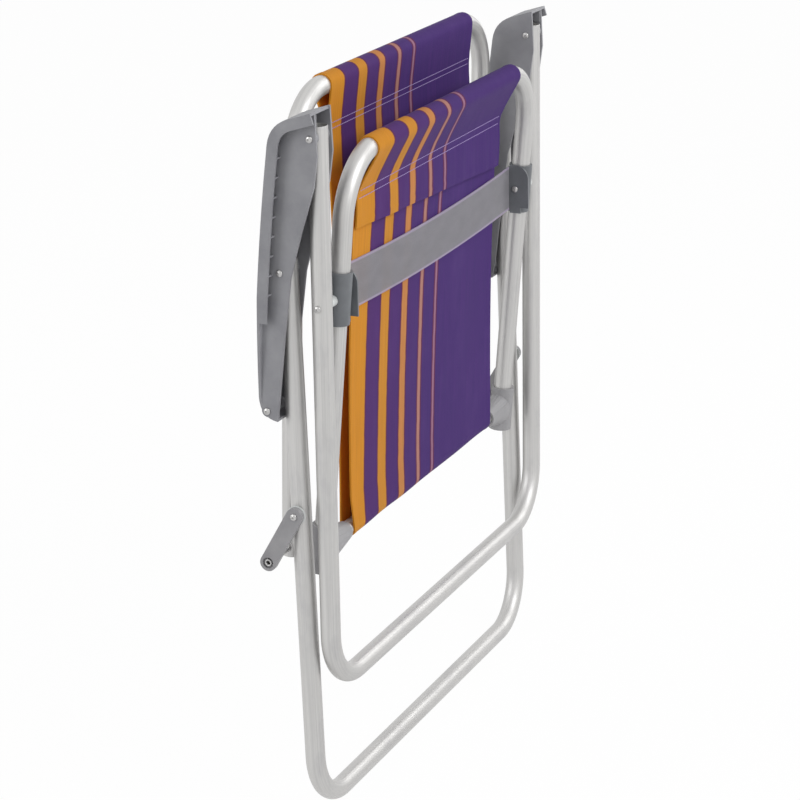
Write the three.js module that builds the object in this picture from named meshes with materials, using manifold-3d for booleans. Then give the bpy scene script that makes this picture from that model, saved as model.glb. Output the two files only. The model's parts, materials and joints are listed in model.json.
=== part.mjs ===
// A folding garden armchair, folded flat and standing upright: two bent tube leg frames, a seat
// frame and a back frame that carry one sling of striped cloth, and a moulded armrest each side.
// Millimetres, +X to the sitter's right, +Y to the rear, +Z up.
import * as THREE from 'three';
import { mergeVertices } from 'three/addons/utils/BufferGeometryUtils.js';
import Module from 'manifold-3d';

const wasm = await Module();
wasm.setup();

// Tubing
const TUBE_OD = 22;
const TUBE_WALL = 1.2;
const CROSS_TUBE_OD = 16;
const CROSS_TUBE_WALL = 1.2;
const LEG_SPAN = 600; // between the centre lines of a leg frame's two sides
const SEAT_INSET = 40; // seat and back sides stand this far inside the legs
const LEG_BEND = 64;
const SEAT_BEND = 68;
const BACK_BEND = 68;
const FRONT_LEG_LENGTH = 616.5; // arm pivot to floor bar
const REAR_LEG_LENGTH = 620;
const SEAT_OVERHANG = 151.5; // seat pivot to front bar
const BACK_LENGTH = 498; // hinge to top bar
const FRONT_LEG_TIP = 11; // tube past its top pivot
const REAR_LEG_TIP = 12;
const BACK_TUBE_TIP = 11;

// Pivots of the folded chair, seen from the side: behind and below the front arm pivot
const SEAT_PIVOT_DROP = 182;
const LEG_PIVOT_BACK = 38.5;
const LEG_PIVOT_DROP = 144.5;
const BACK_PIVOT_BACK = 58;
const BACK_PIVOT_DROP = 297.4;
const LINK_PIVOT_BACK = 30.9;
const LINK_PIVOT_DROP = 413.4;
const HINGE_BACK = 63.5;
const HINGE_DROP = 470.4;
const CROSS_TUBE_BACK = 25;
const CROSS_TUBE_DROP = 467.5;

// Rivets, pins and clearances
const RIVET_RADIUS = 2.6;
const RIVET_HEAD_RADIUS = 5;
const RIVET_HEAD_HEIGHT = 2;
const RIVET_CROWN_SHARE = 0.6; // flat top of a rivet head, of its radius
const RIVET_EDGE_SHARE = 0.4; // straight edge of a rivet head, of its height
const HINGE_PIN_RADIUS = 4;
const HINGE_PIN_BORE = 2.4;
const SEAT_GAP = 0.3; // between pieces that touch
const HOLE_PLAY = 0.3; // round a rivet
const OVERRUN = 1; // how far a cut runs past what it cuts

// Armrest moulding
const ARM_OUTER_FACE = 20; // outer flange, outside the leg tube's centre line
const ARM_INNER_FACE = 17;
const ARM_WALL = 3;
const ARM_LIP = 10; // lip past the outer flange
const ARM_LIP_TAPER_DROP = 170; // below this the lip narrows to nothing at the back pivot
const ARM_SKIRT_DEPTH = 12;
const ARM_SKIRT_WALL = 2.4;
const ARM_NOSE = 29; // nose above the front pivot
const ARM_NOSE_DEPTH = 6; // nose in front of the front pivot
const ARM_NOSE_BACK = 43.5; // top surface behind the front pivot, where the nose's rounding ends
const ARM_NOSE_ROUND = 30;
const ARM_NOSE_SLOPE = 6;
const ARM_NOSE_RIB_LENGTH = 17;
const ARM_CROWN = 7;
const ARM_TAIL = 10.5; // tail below the back pivot
const ARM_TAIL_BACK = 9; // top surface behind the back pivot
const ARM_TAIL_ROUND = 26;
const ARM_TAIL_GAP = 1; // tail behind the rear leg
const ARM_INNER_EXTRA = 1.5; // the inner flange is this much deeper
const ARM_BOSS_RADIUS = 7;
const ARM_RIB_COUNT = 8;
const ARM_RIB_THICKNESS = 1.6;
const ARM_RIB_PITCH = 21;
// Free edge of the flanges: [share of the back pivot's drop, share of its distance back]
const ARM_EDGE_SHARES = [
  [0.97, 0.75], [0.72, 0.6], [0.5, 0.445], [0.47, 0.4], [0.41, 0.32],
  [0.33, 0.2], [0.245, 0.06], [0.17, -0.06], [0.06, -0.14],
];

// Seat corner bracket
const BRACKET_WALL = 3;
const BRACKET_REACH_UP = 27;
const BRACKET_REACH_DOWN = 28;
const BRACKET_FLOOR = 4;
const BRACKET_EAR_THICKNESS = 5;
const BRACKET_EAR_RADIUS = 11;
const BOSS_END_INSET = 92; // where the boss ends, inside the leg tube's centre line
const BOSS_END_RADIUS = 11;
const BOSS_ROOT_RADIUS = 22;
const CROSS_TUBE_SEATED = 26; // tube held in the boss
const GUSSET_THICKNESS = 3;

// Link, spacers, clip and strap
const LINK_WIDTH = 19;
const LINK_THICKNESS = 6;
const LINK_WASHER_RADIUS = 10.5;
const LINK_WASHER_THICKNESS = 2;
const LINK_RECESS_RADIUS = 6.2;
const LINK_RECESS_DEPTH = 3;
const SPACER_RADIUS = 8.5;
const CLIP_LENGTH = 58;
const CLIP_WALL = 2.6;
const CLIP_PAD_WIDTH = 34;
const CLIP_PAD_TOP = 30; // rounded top of the pad above the seat pivot
const CLIP_PAD_FOOT = 23; // square foot of the pad below it
const CLIP_TONGUE_WIDTH = 14;
const CLIP_TONGUE_REACH = 7;
const CLIP_LUG_REACH = 12;
const CLIP_LUG_THICKNESS = 3;
const CLIP_LUG_BACK = 10;
const STRAP_WIDTH = 50;
const STRAP_THICKNESS = 1.2;
const STRAP_SAG = 7;
const STRAP_END_GAP = 1.3; // between the strap's end and the clip's sleeve

// Sling
const CLOTH = 1.2;
const SLING_TOP_WIDTH = 392;
const SLING_BOSS_GAP = 7; // between the cloth's edge at the fold and the bracket's boss
const CLOTH_PLAY = 0.5; // between cloth and the tube in its pocket
const SEAM_DROP = 56; // from the bar to the stitches that close its pocket
const BACK_SEAM_INSET = 6.5; // the back cloth's stitches lie behind the front of its pocket
const FLAP_LENGTH = 98; // from the bar to the flap's free edge
const FLAP_FLARE = 3.5; // free edge off the panel
const POCKET_WRAP_SHARE = 0.11; // half turn the cloth goes on round the bar before the flap leaves it
const PANEL_SLACK = 7;
const SLING_PARTING = 3; // height above the fold where the back cloth begins

// Facets
const TUBE_SIDES = 16;
const BORE_SIDES = 8;
const BEND_STEPS = 7;
const ROUND_SIDES = 22;
const RIVET_SIDES = 10;
const SPACER_SIDES = 14;
const CREST_STEPS = 8;
const LINK_END_STEPS = 8;
const PAD_STEPS = 8;
const STRAP_STEPS = 8;
const PANEL_STEPS = 10;
const POCKET_STEPS = 11;
const FOLD_STEPS = 8;
const MERGE_SHARE = 5e-6; // corners closer than this share of the tube's width are one

// Derived places in the side view, as (back, up) from the front arm pivot
const at = (back, drop) => new THREE.Vector2(back, -drop);
const ARM_PIVOT = at(0, 0);
const SEAT_PIVOT = at(0, SEAT_PIVOT_DROP);
const LEG_PIVOT = at(LEG_PIVOT_BACK, LEG_PIVOT_DROP);
const BACK_PIVOT = at(BACK_PIVOT_BACK, BACK_PIVOT_DROP);
const LINK_PIVOT = at(LINK_PIVOT_BACK, LINK_PIVOT_DROP);
const HINGE = at(HINGE_BACK, HINGE_DROP);
const CROSS_TUBE = at(CROSS_TUBE_BACK, CROSS_TUBE_DROP);
const TUBE_RADIUS = TUBE_OD / 2;
const CROSS_RADIUS = CROSS_TUBE_OD / 2;
const LEG_X = LEG_SPAN / 2;
const SEAT_X = LEG_X - SEAT_INSET;

const METAL = { color: 0xcfcdc8, roughness: 0.38, metalness: 0.85 };
const RIVET_METAL = { color: 0xb9b9b6, roughness: 0.35, metalness: 0.9 };
const ARM_PLASTIC = { color: 0x8a8a90, roughness: 0.55, metalness: 0 };
const LINK_PLASTIC = { color: 0x9b9a9e, roughness: 0.5, metalness: 0 };
const CLIP_PLASTIC = { color: 0x6b6e72, roughness: 0.55, metalness: 0 };
const SPACER_PLASTIC = { color: 0xe2e4e2, roughness: 0.5, metalness: 0 };
const SLING_CLOTH = { color: 0x553787, roughness: 0.85, metalness: 0, side: THREE.DoubleSide };
const STRAP_CLOTH = { color: 0x94929b, roughness: 0.8, metalness: 0 };

const chair = new THREE.Group();

function addPiece(name, geometry, look) {
  const mesh = new THREE.Mesh(geometry, new THREE.MeshStandardMaterial(look));
  mesh.name = name;
  chair.add(mesh);
  return mesh;
}

// Solids

function toSolid(geometry) {
  const bare = geometry.clone();
  bare.deleteAttribute('normal');
  bare.deleteAttribute('uv');
  const merged = mergeVertices(bare, MERGE_SHARE * TUBE_OD);
  return new wasm.Manifold(new wasm.Mesh({
    numProp: 3,
    vertProperties: new Float32Array(merged.attributes.position.array),
    triVerts: new Uint32Array(merged.index.array),
  }));
}

function toGeometry(solid) {
  const mesh = solid.getMesh();
  const geometry = new THREE.BufferGeometry();
  geometry.setAttribute('position', new THREE.BufferAttribute(new Float32Array(mesh.vertProperties), 3));
  geometry.setIndex(new THREE.BufferAttribute(new Uint32Array(mesh.triVerts), 1));
  return geometry;
}

function join(geometries) {
  return toGeometry(geometries.map(toSolid).reduce((whole, piece) => whole.add(piece)));
}

function cut(geometry, cutters) {
  return toGeometry(cutters.map(toSolid).reduce((whole, piece) => whole.subtract(piece), toSolid(geometry)));
}

function mirrored(geometry) {
  const twin = geometry.clone();
  if (!twin.index) twin.setIndex([...Array(twin.attributes.position.count).keys()]);
  twin.scale(-1, 1, 1);
  const index = twin.index.array;
  for (let i = 0; i < index.length; i += 3) {
    [index[i], index[i + 1]] = [index[i + 1], index[i]];
  }
  return twin;
}

function addPair(name, geometry, look) {
  addPiece(`${name}_right`, geometry, look);
  addPiece(`${name}_left`, mirrored(geometry), look);
}

// A side-view outline, thickened across the chair from x0 to x1
function across(shape, x0, x1, curveSegments = 6) {
  const geometry = new THREE.ExtrudeGeometry(shape, { depth: x1 - x0, bevelEnabled: false, curveSegments });
  const turn = new THREE.Matrix4().makeBasis(
    new THREE.Vector3(0, 1, 0), new THREE.Vector3(0, 0, 1), new THREE.Vector3(1, 0, 0),
  );
  return geometry.applyMatrix4(turn).translate(x0, 0, 0);
}

// A cylinder across the chair, centred on a side-view point
function rod(point, radius, x0, x1, sides = ROUND_SIDES) {
  const geometry = new THREE.CylinderGeometry(radius, radius, x1 - x0, sides);
  return geometry.rotateZ(-Math.PI / 2).translate((x0 + x1) / 2, point.x, point.y);
}

function ring(point, outer, inner, x0, x1) {
  const shape = new THREE.Shape().absarc(point.x, point.y, outer, 0, 2 * Math.PI);
  shape.holes.push(new THREE.Path().absarc(point.x, point.y, inner, 0, 2 * Math.PI));
  return across(shape, x0, x1, SPACER_SIDES);
}

// A two-headed rivet across the chair; the heads stand outside x0 and x1
function rivet(point, x0, x1) {
  const radius = RIVET_RADIUS;
  const head = RIVET_HEAD_RADIUS;
  const crown = head * RIVET_CROWN_SHARE;
  const low = RIVET_HEAD_HEIGHT * RIVET_EDGE_SHARE;
  const profile = [
    [0, x0 - RIVET_HEAD_HEIGHT], [crown, x0 - RIVET_HEAD_HEIGHT], [head, x0 - low], [head, x0],
    [radius, x0], [radius, x1],
    [head, x1], [head, x1 + low], [crown, x1 + RIVET_HEAD_HEIGHT], [0, x1 + RIVET_HEAD_HEIGHT],
  ].map(([r, x]) => new THREE.Vector2(r, x));
  const geometry = new THREE.LatheGeometry(profile, RIVET_SIDES);
  return geometry.rotateZ(-Math.PI / 2).translate(0, point.x, point.y);
}

// Tube frames

// The centre line of a U frame in its own plane: bar along X at z = 0, sides up to z = length
class FramePath extends THREE.Curve {
  constructor(halfSpan, bend, length) {
    super();
    this.stations = [this.station(-halfSpan, length, 0, -1)];
    for (const side of [-1, 1]) {
      for (let step = 0; step <= BEND_STEPS; step += 1) {
        const turn = (step / BEND_STEPS) * (Math.PI / 2);
        const angle = side < 0 ? turn : Math.PI / 2 - turn;
        const x = side * (halfSpan - bend + bend * Math.cos(angle));
        const z = bend - bend * Math.sin(angle);
        this.stations.push(this.station(x, z, Math.sin(angle), side * Math.cos(angle)));
      }
    }
    this.stations.push(this.station(halfSpan, length, 0, 1));
  }

  station(x, z, dx, dz) {
    return { point: new THREE.Vector3(x, 0, z), tangent: new THREE.Vector3(dx, 0, dz).normalize() };
  }

  get steps() {
    return this.stations.length - 1;
  }

  getPoint(t, target = new THREE.Vector3()) {
    return target.copy(this.stations[Math.round(t * this.steps)].point);
  }

  getPointAt(u, target) {
    return this.getPoint(u, target);
  }

  getTangentAt(u, target = new THREE.Vector3()) {
    return target.copy(this.stations[Math.round(u * this.steps)].tangent);
  }
}

function tubeSection(radius, wall) {
  const section = new THREE.Shape(circle(radius, TUBE_SIDES));
  section.holes.push(new THREE.Path(circle(radius - wall, BORE_SIDES)));
  return section;
}

// A regular outline with flats, not corners, square to both axes
function circle(radius, sides) {
  return [...Array(sides).keys()].map((side) => {
    const angle = ((side + 0.5) / sides) * 2 * Math.PI;
    return new THREE.Vector2(radius * Math.cos(angle), radius * Math.sin(angle));
  });
}

// A bent U frame drilled across both sides at the given heights above its bar
function bentFrame(halfSpan, bend, length, holes) {
  const path = new FramePath(halfSpan, bend, length);
  const tube = new THREE.ExtrudeGeometry(tubeSection(TUBE_RADIUS, TUBE_WALL), {
    steps: path.steps, extrudePath: path, curveSegments: 1,
  });
  const reach = TUBE_RADIUS + OVERRUN;
  const drills = holes.flatMap(({ height, radius }) => [-1, 1].map((side) => rod(
    new THREE.Vector2(0, height), radius + HOLE_PLAY,
    side * halfSpan - reach, side * halfSpan + reach, RIVET_SIDES,
  )));
  return cut(tube, drills);
}

// Stands a frame with its bar at a side-view point and its sides toward another
function standFrame(mesh, bar, toward) {
  const lean = toward.clone().sub(bar).normalize();
  mesh.position.set(0, bar.x, bar.y);
  mesh.rotation.x = Math.atan2(-lean.x, lean.y);
}

// The point on the line from a to b, so far past a
function along(a, b, distance) {
  return a.clone().add(b.clone().sub(a).normalize().multiplyScalar(distance));
}

function makeFrontLegs() {
  const bar = at(0, FRONT_LEG_LENGTH);
  const holes = [
    { height: FRONT_LEG_LENGTH, radius: RIVET_RADIUS },
    { height: FRONT_LEG_LENGTH - SEAT_PIVOT_DROP, radius: RIVET_RADIUS },
  ];
  const frame = bentFrame(LEG_X, LEG_BEND, FRONT_LEG_LENGTH + FRONT_LEG_TIP, holes);
  standFrame(addPiece('front_leg_frame', frame, METAL), bar, ARM_PIVOT);
}

function makeRearLegs() {
  const bar = along(LEG_PIVOT, LINK_PIVOT, REAR_LEG_LENGTH);
  const holes = [
    { height: REAR_LEG_LENGTH, radius: RIVET_RADIUS },
    { height: bar.distanceTo(LINK_PIVOT), radius: RIVET_RADIUS },
  ];
  const frame = bentFrame(LEG_X, LEG_BEND, REAR_LEG_LENGTH + REAR_LEG_TIP, holes);
  standFrame(addPiece('rear_leg_frame', frame, METAL), bar, LEG_PIVOT);
}

const SEAT_BAR = along(SEAT_PIVOT, CROSS_TUBE, -SEAT_OVERHANG);
const BACK_BAR = along(HINGE, BACK_PIVOT, BACK_LENGTH);

function makeSeatFrame() {
  const socketFloor = SEAT_BAR.distanceTo(CROSS_TUBE) + BRACKET_REACH_DOWN - BRACKET_FLOOR;
  const holes = [{ height: SEAT_OVERHANG, radius: RIVET_RADIUS }];
  const frame = bentFrame(SEAT_X, SEAT_BEND, socketFloor - SEAT_GAP, holes);
  standFrame(addPiece('seat_frame', frame, METAL), SEAT_BAR, CROSS_TUBE);
}

function makeBackFrame() {
  const holes = [
    { height: BACK_LENGTH, radius: HINGE_PIN_RADIUS },
    { height: BACK_BAR.distanceTo(BACK_PIVOT), radius: RIVET_RADIUS },
  ];
  const frame = bentFrame(SEAT_X, BACK_BEND, BACK_LENGTH + BACK_TUBE_TIP, holes);
  standFrame(addPiece('back_frame', frame, METAL), BACK_BAR, HINGE);
}

// Outlines

// A strip of the given thickness on the left of a run of points
function strip(points, thickness) {
  const ways = points.slice(1).map((point, i) => point.clone().sub(points[i]).normalize());
  const offset = points.map((point, i) => {
    const arrive = ways[Math.max(i - 1, 0)];
    const leave = ways[Math.min(i, ways.length - 1)];
    const way = arrive.clone().add(leave).normalize();
    const reach = thickness / way.dot(leave);
    return new THREE.Vector2(point.x - way.y * reach, point.y + way.x * reach);
  });
  return new THREE.Shape([...points, ...offset.reverse()]);
}

function slab(a, b, width) {
  const way = b.clone().sub(a).normalize();
  const angle = Math.atan2(way.y, way.x);
  const shape = new THREE.Shape();
  shape.absarc(b.x, b.y, width / 2, angle - Math.PI / 2, angle + Math.PI / 2);
  shape.absarc(a.x, a.y, width / 2, angle + Math.PI / 2, angle + 1.5 * Math.PI);
  return shape;
}

// Armrests

// How far back the rear legs' centre line lies at a height
function rearLegBack(height) {
  const share = (LEG_PIVOT.y - height) / (LEG_PIVOT.y - LINK_PIVOT.y);
  return THREE.MathUtils.lerp(LEG_PIVOT.x, LINK_PIVOT.x, share);
}

// The crest of the armrest from the nose's free corner over the top to the tail's free corner
function armCrest() {
  const tailTop = new THREE.Vector2(BACK_PIVOT.x + ARM_TAIL_BACK, BACK_PIVOT.y - ARM_TAIL + ARM_TAIL_ROUND);
  const noseTop = new THREE.Vector2(ARM_NOSE_BACK, ARM_NOSE - ARM_NOSE_ROUND - ARM_NOSE_SLOPE);
  const middle = noseTop.clone().add(tailTop).multiplyScalar(0.5);
  const tipHeight = BACK_PIVOT.y - ARM_TAIL;
  const tip = new THREE.Vector2(rearLegBack(tipHeight) + TUBE_RADIUS + ARM_TAIL_GAP, tipHeight);
  const path = new THREE.Path();
  path.moveTo(-ARM_NOSE_DEPTH, ARM_NOSE);
  path.lineTo(ARM_NOSE_BACK - ARM_NOSE_ROUND, ARM_NOSE - ARM_NOSE_SLOPE);
  path.quadraticCurveTo(ARM_NOSE_BACK - ARM_CROWN / 2, ARM_NOSE - 2 * ARM_NOSE_SLOPE, noseTop.x, noseTop.y);
  path.quadraticCurveTo(middle.x + ARM_CROWN, middle.y, tailTop.x, tailTop.y);
  path.quadraticCurveTo(tailTop.x, tip.y + ARM_WALL, tip.x, tip.y);
  return path.getPoints(CREST_STEPS);
}

function flangeOutline(crest, extra) {
  const edge = ARM_EDGE_SHARES.map(([drop, back]) => at(back * BACK_PIVOT_BACK - extra, drop * BACK_PIVOT_DROP));
  const nose = new THREE.Vector2(crest[0].x - extra, crest[0].y);
  return new THREE.Shape([...crest, ...edge, nose]);
}

function armRib(crest, index) {
  const z = -ARM_RIB_PITCH * (index + 1);
  const next = crest.findIndex((point, i) => i > 1 && point.y < z);
  const from = crest[next - 1];
  const to = crest[next];
  const top = from.x + ((to.x - from.x) * (from.y - z)) / (from.y - to.y);
  const x0 = LEG_X + ARM_OUTER_FACE - ARM_WALL / 2;
  const x1 = LEG_X + ARM_OUTER_FACE + ARM_LIP - ARM_SKIRT_WALL / 2;
  const geometry = new THREE.BoxGeometry(x1 - x0, ARM_SKIRT_DEPTH - ARM_WALL / 2, ARM_RIB_THICKNESS);
  return geometry.translate((x0 + x1) / 2, top - ARM_WALL / 2 - geometry.parameters.height / 2, z);
}

// The thin rib under the nose wall, beside the leg tube
function armNoseRib(crest, x0) {
  const [front, back] = crest;
  const foot = ARM_NOSE - ARM_NOSE_RIB_LENGTH;
  const shape = new THREE.Shape([
    new THREE.Vector2(front.x, front.y - ARM_WALL / 2),
    new THREE.Vector2(front.x, foot),
    new THREE.Vector2(back.x, foot),
    new THREE.Vector2(back.x, back.y - ARM_WALL / 2),
  ]);
  return across(shape, x0, x0 + ARM_RIB_THICKNESS);
}

// A side-to-side outline, thickened from front to rear between y0 and y1
function fromFront(shape, y0, y1) {
  const geometry = new THREE.ExtrudeGeometry(shape, { depth: y1 - y0, bevelEnabled: false });
  return geometry.rotateX(Math.PI / 2).translate(0, y1, 0);
}

// What is cut away outside the lip, so that it narrows to the outer flange at the back pivot
function lipTaper(outer, lip) {
  const foot = BACK_PIVOT.y - ARM_TAIL - OVERRUN;
  const shape = new THREE.Shape();
  shape.moveTo(lip, -ARM_LIP_TAPER_DROP);
  shape.lineTo(outer, BACK_PIVOT.y + ARM_BOSS_RADIUS);
  shape.lineTo(outer, foot);
  shape.lineTo(lip + OVERRUN, foot);
  shape.lineTo(lip + OVERRUN, -ARM_LIP_TAPER_DROP);
  return fromFront(shape, 0, BACK_PIVOT.x + ARM_TAIL_BACK + OVERRUN);
}

function makeArmrests() {
  const crest = armCrest();
  const outer = LEG_X + ARM_OUTER_FACE;
  const inner = LEG_X - ARM_INNER_FACE;
  const lip = outer + ARM_LIP;
  const roof = strip(crest, -ARM_WALL);
  const bossFoot = LEG_X + TUBE_RADIUS + SEAT_GAP;
  const bossTop = LEG_X - TUBE_RADIUS - SEAT_GAP;
  const body = join([
    across(flangeOutline(crest, 0), outer - ARM_WALL, outer),
    across(flangeOutline(crest, ARM_INNER_EXTRA), inner, inner + ARM_WALL),
    across(roof, inner, lip),
    across(strip(crest, -ARM_SKIRT_DEPTH), lip - ARM_SKIRT_WALL, lip),
    rod(ARM_PIVOT, ARM_BOSS_RADIUS, bossFoot, outer - ARM_WALL / 2),
    rod(LEG_PIVOT, ARM_BOSS_RADIUS, bossFoot, outer - ARM_WALL / 2),
    rod(ARM_PIVOT, ARM_BOSS_RADIUS, inner + ARM_WALL / 2, bossTop),
    rod(LEG_PIVOT, ARM_BOSS_RADIUS, inner + ARM_WALL / 2, bossTop),
    rod(BACK_PIVOT, ARM_BOSS_RADIUS, inner + ARM_WALL / 2, outer - ARM_WALL / 2),
    ...[...Array(ARM_RIB_COUNT).keys()].map((index) => armRib(crest, index)),
    armNoseRib(crest, bossFoot + ARM_WALL),
  ]);
  const drills = [ARM_PIVOT, LEG_PIVOT, BACK_PIVOT].map((pivot) => rod(
    pivot, RIVET_RADIUS + HOLE_PLAY, inner - OVERRUN, outer + OVERRUN, RIVET_SIDES,
  ));
  addPair('armrest', cut(body, [...drills, lipTaper(outer, lip)]), ARM_PLASTIC);
}

function makeArmRivets() {
  const outer = LEG_X + ARM_OUTER_FACE + SEAT_GAP;
  const inner = LEG_X - ARM_INNER_FACE - SEAT_GAP;
  addPair('arm_front_rivet', rivet(ARM_PIVOT, inner, outer), RIVET_METAL);
  addPair('arm_leg_rivet', rivet(LEG_PIVOT, inner, outer), RIVET_METAL);
}

// Back pivot: the rivet's outer half stays in the armrest, its inner half with the back frame
function makeBackPivots() {
  const outer = LEG_X + ARM_OUTER_FACE + SEAT_GAP;
  const inner = LEG_X - ARM_INNER_FACE;
  const shank = rod(BACK_PIVOT, RIVET_RADIUS, inner, outer, RIVET_SIDES);
  const head = rod(BACK_PIVOT, RIVET_HEAD_RADIUS, outer, outer + RIVET_HEAD_HEIGHT, RIVET_SIDES);
  addPair('arm_back_rivet', join([shank, head]), RIVET_METAL);

  const spacerOut = inner - SEAT_GAP;
  const spacerIn = SEAT_X + TUBE_RADIUS + SEAT_GAP;
  const spacer = ring(BACK_PIVOT, SPACER_RADIUS, RIVET_RADIUS + HOLE_PLAY, spacerIn, spacerOut);
  addPair('back_spacer', spacer, SPACER_PLASTIC);
  const tubeIn = SEAT_X - TUBE_RADIUS - SEAT_GAP;
  const pinIn = tubeIn - RIVET_HEAD_HEIGHT / 2;
  const pin = rod(BACK_PIVOT, RIVET_RADIUS, pinIn, spacerOut - SEAT_GAP, RIVET_SIDES);
  const pinHead = rod(BACK_PIVOT, RIVET_HEAD_RADIUS, tubeIn - RIVET_HEAD_HEIGHT, tubeIn, RIVET_SIDES);
  addPair('back_spacer_rivet', join([pin, pinHead]), RIVET_METAL);
}

function makeSeatPivots() {
  const outer = LEG_X + TUBE_RADIUS + SEAT_GAP;
  const inner = SEAT_X - TUBE_RADIUS - CLIP_WALL - 2 * SEAT_GAP;
  addPair('seat_rivet', rivet(SEAT_PIVOT, inner, outer), RIVET_METAL);
  const spacerIn = SEAT_X + TUBE_RADIUS + CLIP_WALL + 2 * SEAT_GAP;
  const spacerOut = LEG_X - TUBE_RADIUS - SEAT_GAP;
  const spacer = ring(SEAT_PIVOT, SPACER_RADIUS, RIVET_RADIUS + HOLE_PLAY, spacerIn, spacerOut);
  addPair('seat_spacer', spacer, SPACER_PLASTIC);
}

// Links from the rear legs to the seat and back hinge
function makeLinks() {
  const washerIn = LEG_X + TUBE_RADIUS + SEAT_GAP;
  const washerOut = washerIn + LINK_WASHER_THICKNESS;
  const linkIn = washerOut + SEAT_GAP;
  const linkOut = linkIn + LINK_THICKNESS;
  const bar = across(slab(LINK_PIVOT, HINGE, LINK_WIDTH), linkIn, linkOut, LINK_END_STEPS);
  const link = cut(bar, [
    rod(LINK_PIVOT, RIVET_RADIUS + HOLE_PLAY, linkIn - OVERRUN, linkOut + OVERRUN, RIVET_SIDES),
    rod(HINGE, HINGE_PIN_RADIUS + HOLE_PLAY, linkIn - OVERRUN, linkOut + OVERRUN),
    rod(HINGE, LINK_RECESS_RADIUS, linkOut - LINK_RECESS_DEPTH, linkOut + OVERRUN),
  ]);
  addPair('link', link, LINK_PLASTIC);
  const washer = ring(LINK_PIVOT, LINK_WASHER_RADIUS, RIVET_RADIUS + HOLE_PLAY, washerIn, washerOut);
  addPair('link_washer', washer, SPACER_PLASTIC);
  const rivetIn = LEG_X - TUBE_RADIUS - SEAT_GAP;
  addPair('link_rivet', rivet(LINK_PIVOT, rivetIn, linkOut + SEAT_GAP), RIVET_METAL);
  const pinEnd = ring(HINGE, HINGE_PIN_RADIUS, HINGE_PIN_BORE, linkIn, linkOut - SEAT_GAP);
  addPair('link_pin_end', pinEnd, RIVET_METAL);

  const pinOut = linkIn - SEAT_GAP;
  const earIn = SEAT_X - TUBE_RADIUS - 2 * SEAT_GAP - BRACKET_EAR_THICKNESS;
  const pin = ring(HINGE, HINGE_PIN_RADIUS, HINGE_PIN_BORE, earIn - RIVET_HEAD_HEIGHT / 2, pinOut);
  const head = rod(HINGE, RIVET_HEAD_RADIUS, earIn - RIVET_HEAD_HEIGHT, earIn - SEAT_GAP);
  addPair('hinge_pin', join([pin, head]), RIVET_METAL);
}

// Seat corner brackets and the cross tube between them

// A boss that narrows from the socket to the ring that holds the cross tube
function bracketBoss(rootX, endX) {
  const geometry = rod(new THREE.Vector2(0, 0), 1, endX, rootX);
  const position = geometry.attributes.position;
  const rootDepth = TUBE_RADIUS + BRACKET_WALL;
  for (let i = 0; i < position.count; i += 1) {
    const share = (position.getX(i) - endX) / (rootX - endX);
    position.setY(i, position.getY(i) * THREE.MathUtils.lerp(BOSS_END_RADIUS, rootDepth, share));
    position.setZ(i, position.getZ(i) * THREE.MathUtils.lerp(BOSS_END_RADIUS, BOSS_ROOT_RADIUS, share));
  }
  return geometry.translate(0, CROSS_TUBE.x, CROSS_TUBE.y);
}

// A cylinder along the seat frame's side tube, between two distances from the cross tube
function alongSeatTube(radius, from, to, sides = ROUND_SIDES) {
  const lean = CROSS_TUBE.clone().sub(SEAT_BAR).normalize();
  const geometry = new THREE.CylinderGeometry(radius, radius, to - from, sides);
  geometry.translate(0, (from + to) / 2, 0).rotateX(Math.atan2(-lean.y, -lean.x));
  return geometry.translate(SEAT_X, CROSS_TUBE.x, CROSS_TUBE.y);
}

function makeBrackets() {
  const socket = TUBE_RADIUS + BRACKET_WALL;
  const earOut = SEAT_X - TUBE_RADIUS - SEAT_GAP;
  const earIn = earOut - BRACKET_EAR_THICKNESS;
  const bossEnd = LEG_X - BOSS_END_INSET;
  const ear = across(slab(CROSS_TUBE, HINGE, 2 * BRACKET_EAR_RADIUS), earIn, earOut);
  const web = new THREE.Shape();
  web.moveTo(bossEnd, 0);
  web.lineTo(SEAT_X, 0);
  web.lineTo(SEAT_X, BRACKET_REACH_UP - BRACKET_WALL);
  web.lineTo(bossEnd, BOSS_END_RADIUS);
  const gusset = fromFront(web, CROSS_TUBE.x - GUSSET_THICKNESS / 2, CROSS_TUBE.x + GUSSET_THICKNESS / 2);
  gusset.translate(0, 0, CROSS_TUBE.y);
  const body = join([
    alongSeatTube(socket, -BRACKET_REACH_DOWN, BRACKET_REACH_UP),
    bracketBoss(SEAT_X - TUBE_RADIUS / 2, bossEnd),
    ear,
    gusset,
  ]);
  const seatedFrom = bossEnd + CROSS_TUBE_SEATED + SEAT_GAP;
  const bracket = cut(body, [
    alongSeatTube(TUBE_RADIUS + SEAT_GAP, -BRACKET_REACH_DOWN + BRACKET_FLOOR, BRACKET_REACH_UP + OVERRUN),
    rod(CROSS_TUBE, CROSS_RADIUS + SEAT_GAP, bossEnd - OVERRUN, seatedFrom),
    rod(HINGE, HINGE_PIN_RADIUS + HOLE_PLAY, earIn - OVERRUN, earOut + OVERRUN, RIVET_SIDES),
  ]);
  addPair('bracket', bracket, LINK_PLASTIC);
}

function makeCrossTube() {
  const end = LEG_X - BOSS_END_INSET + CROSS_TUBE_SEATED;
  const tube = ring(CROSS_TUBE, CROSS_RADIUS, CROSS_RADIUS - CROSS_TUBE_WALL, -end, end);
  addPiece('cross_tube', tube, METAL);
}

// Clips on the seat frame's side tubes, and the strap between them

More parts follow.
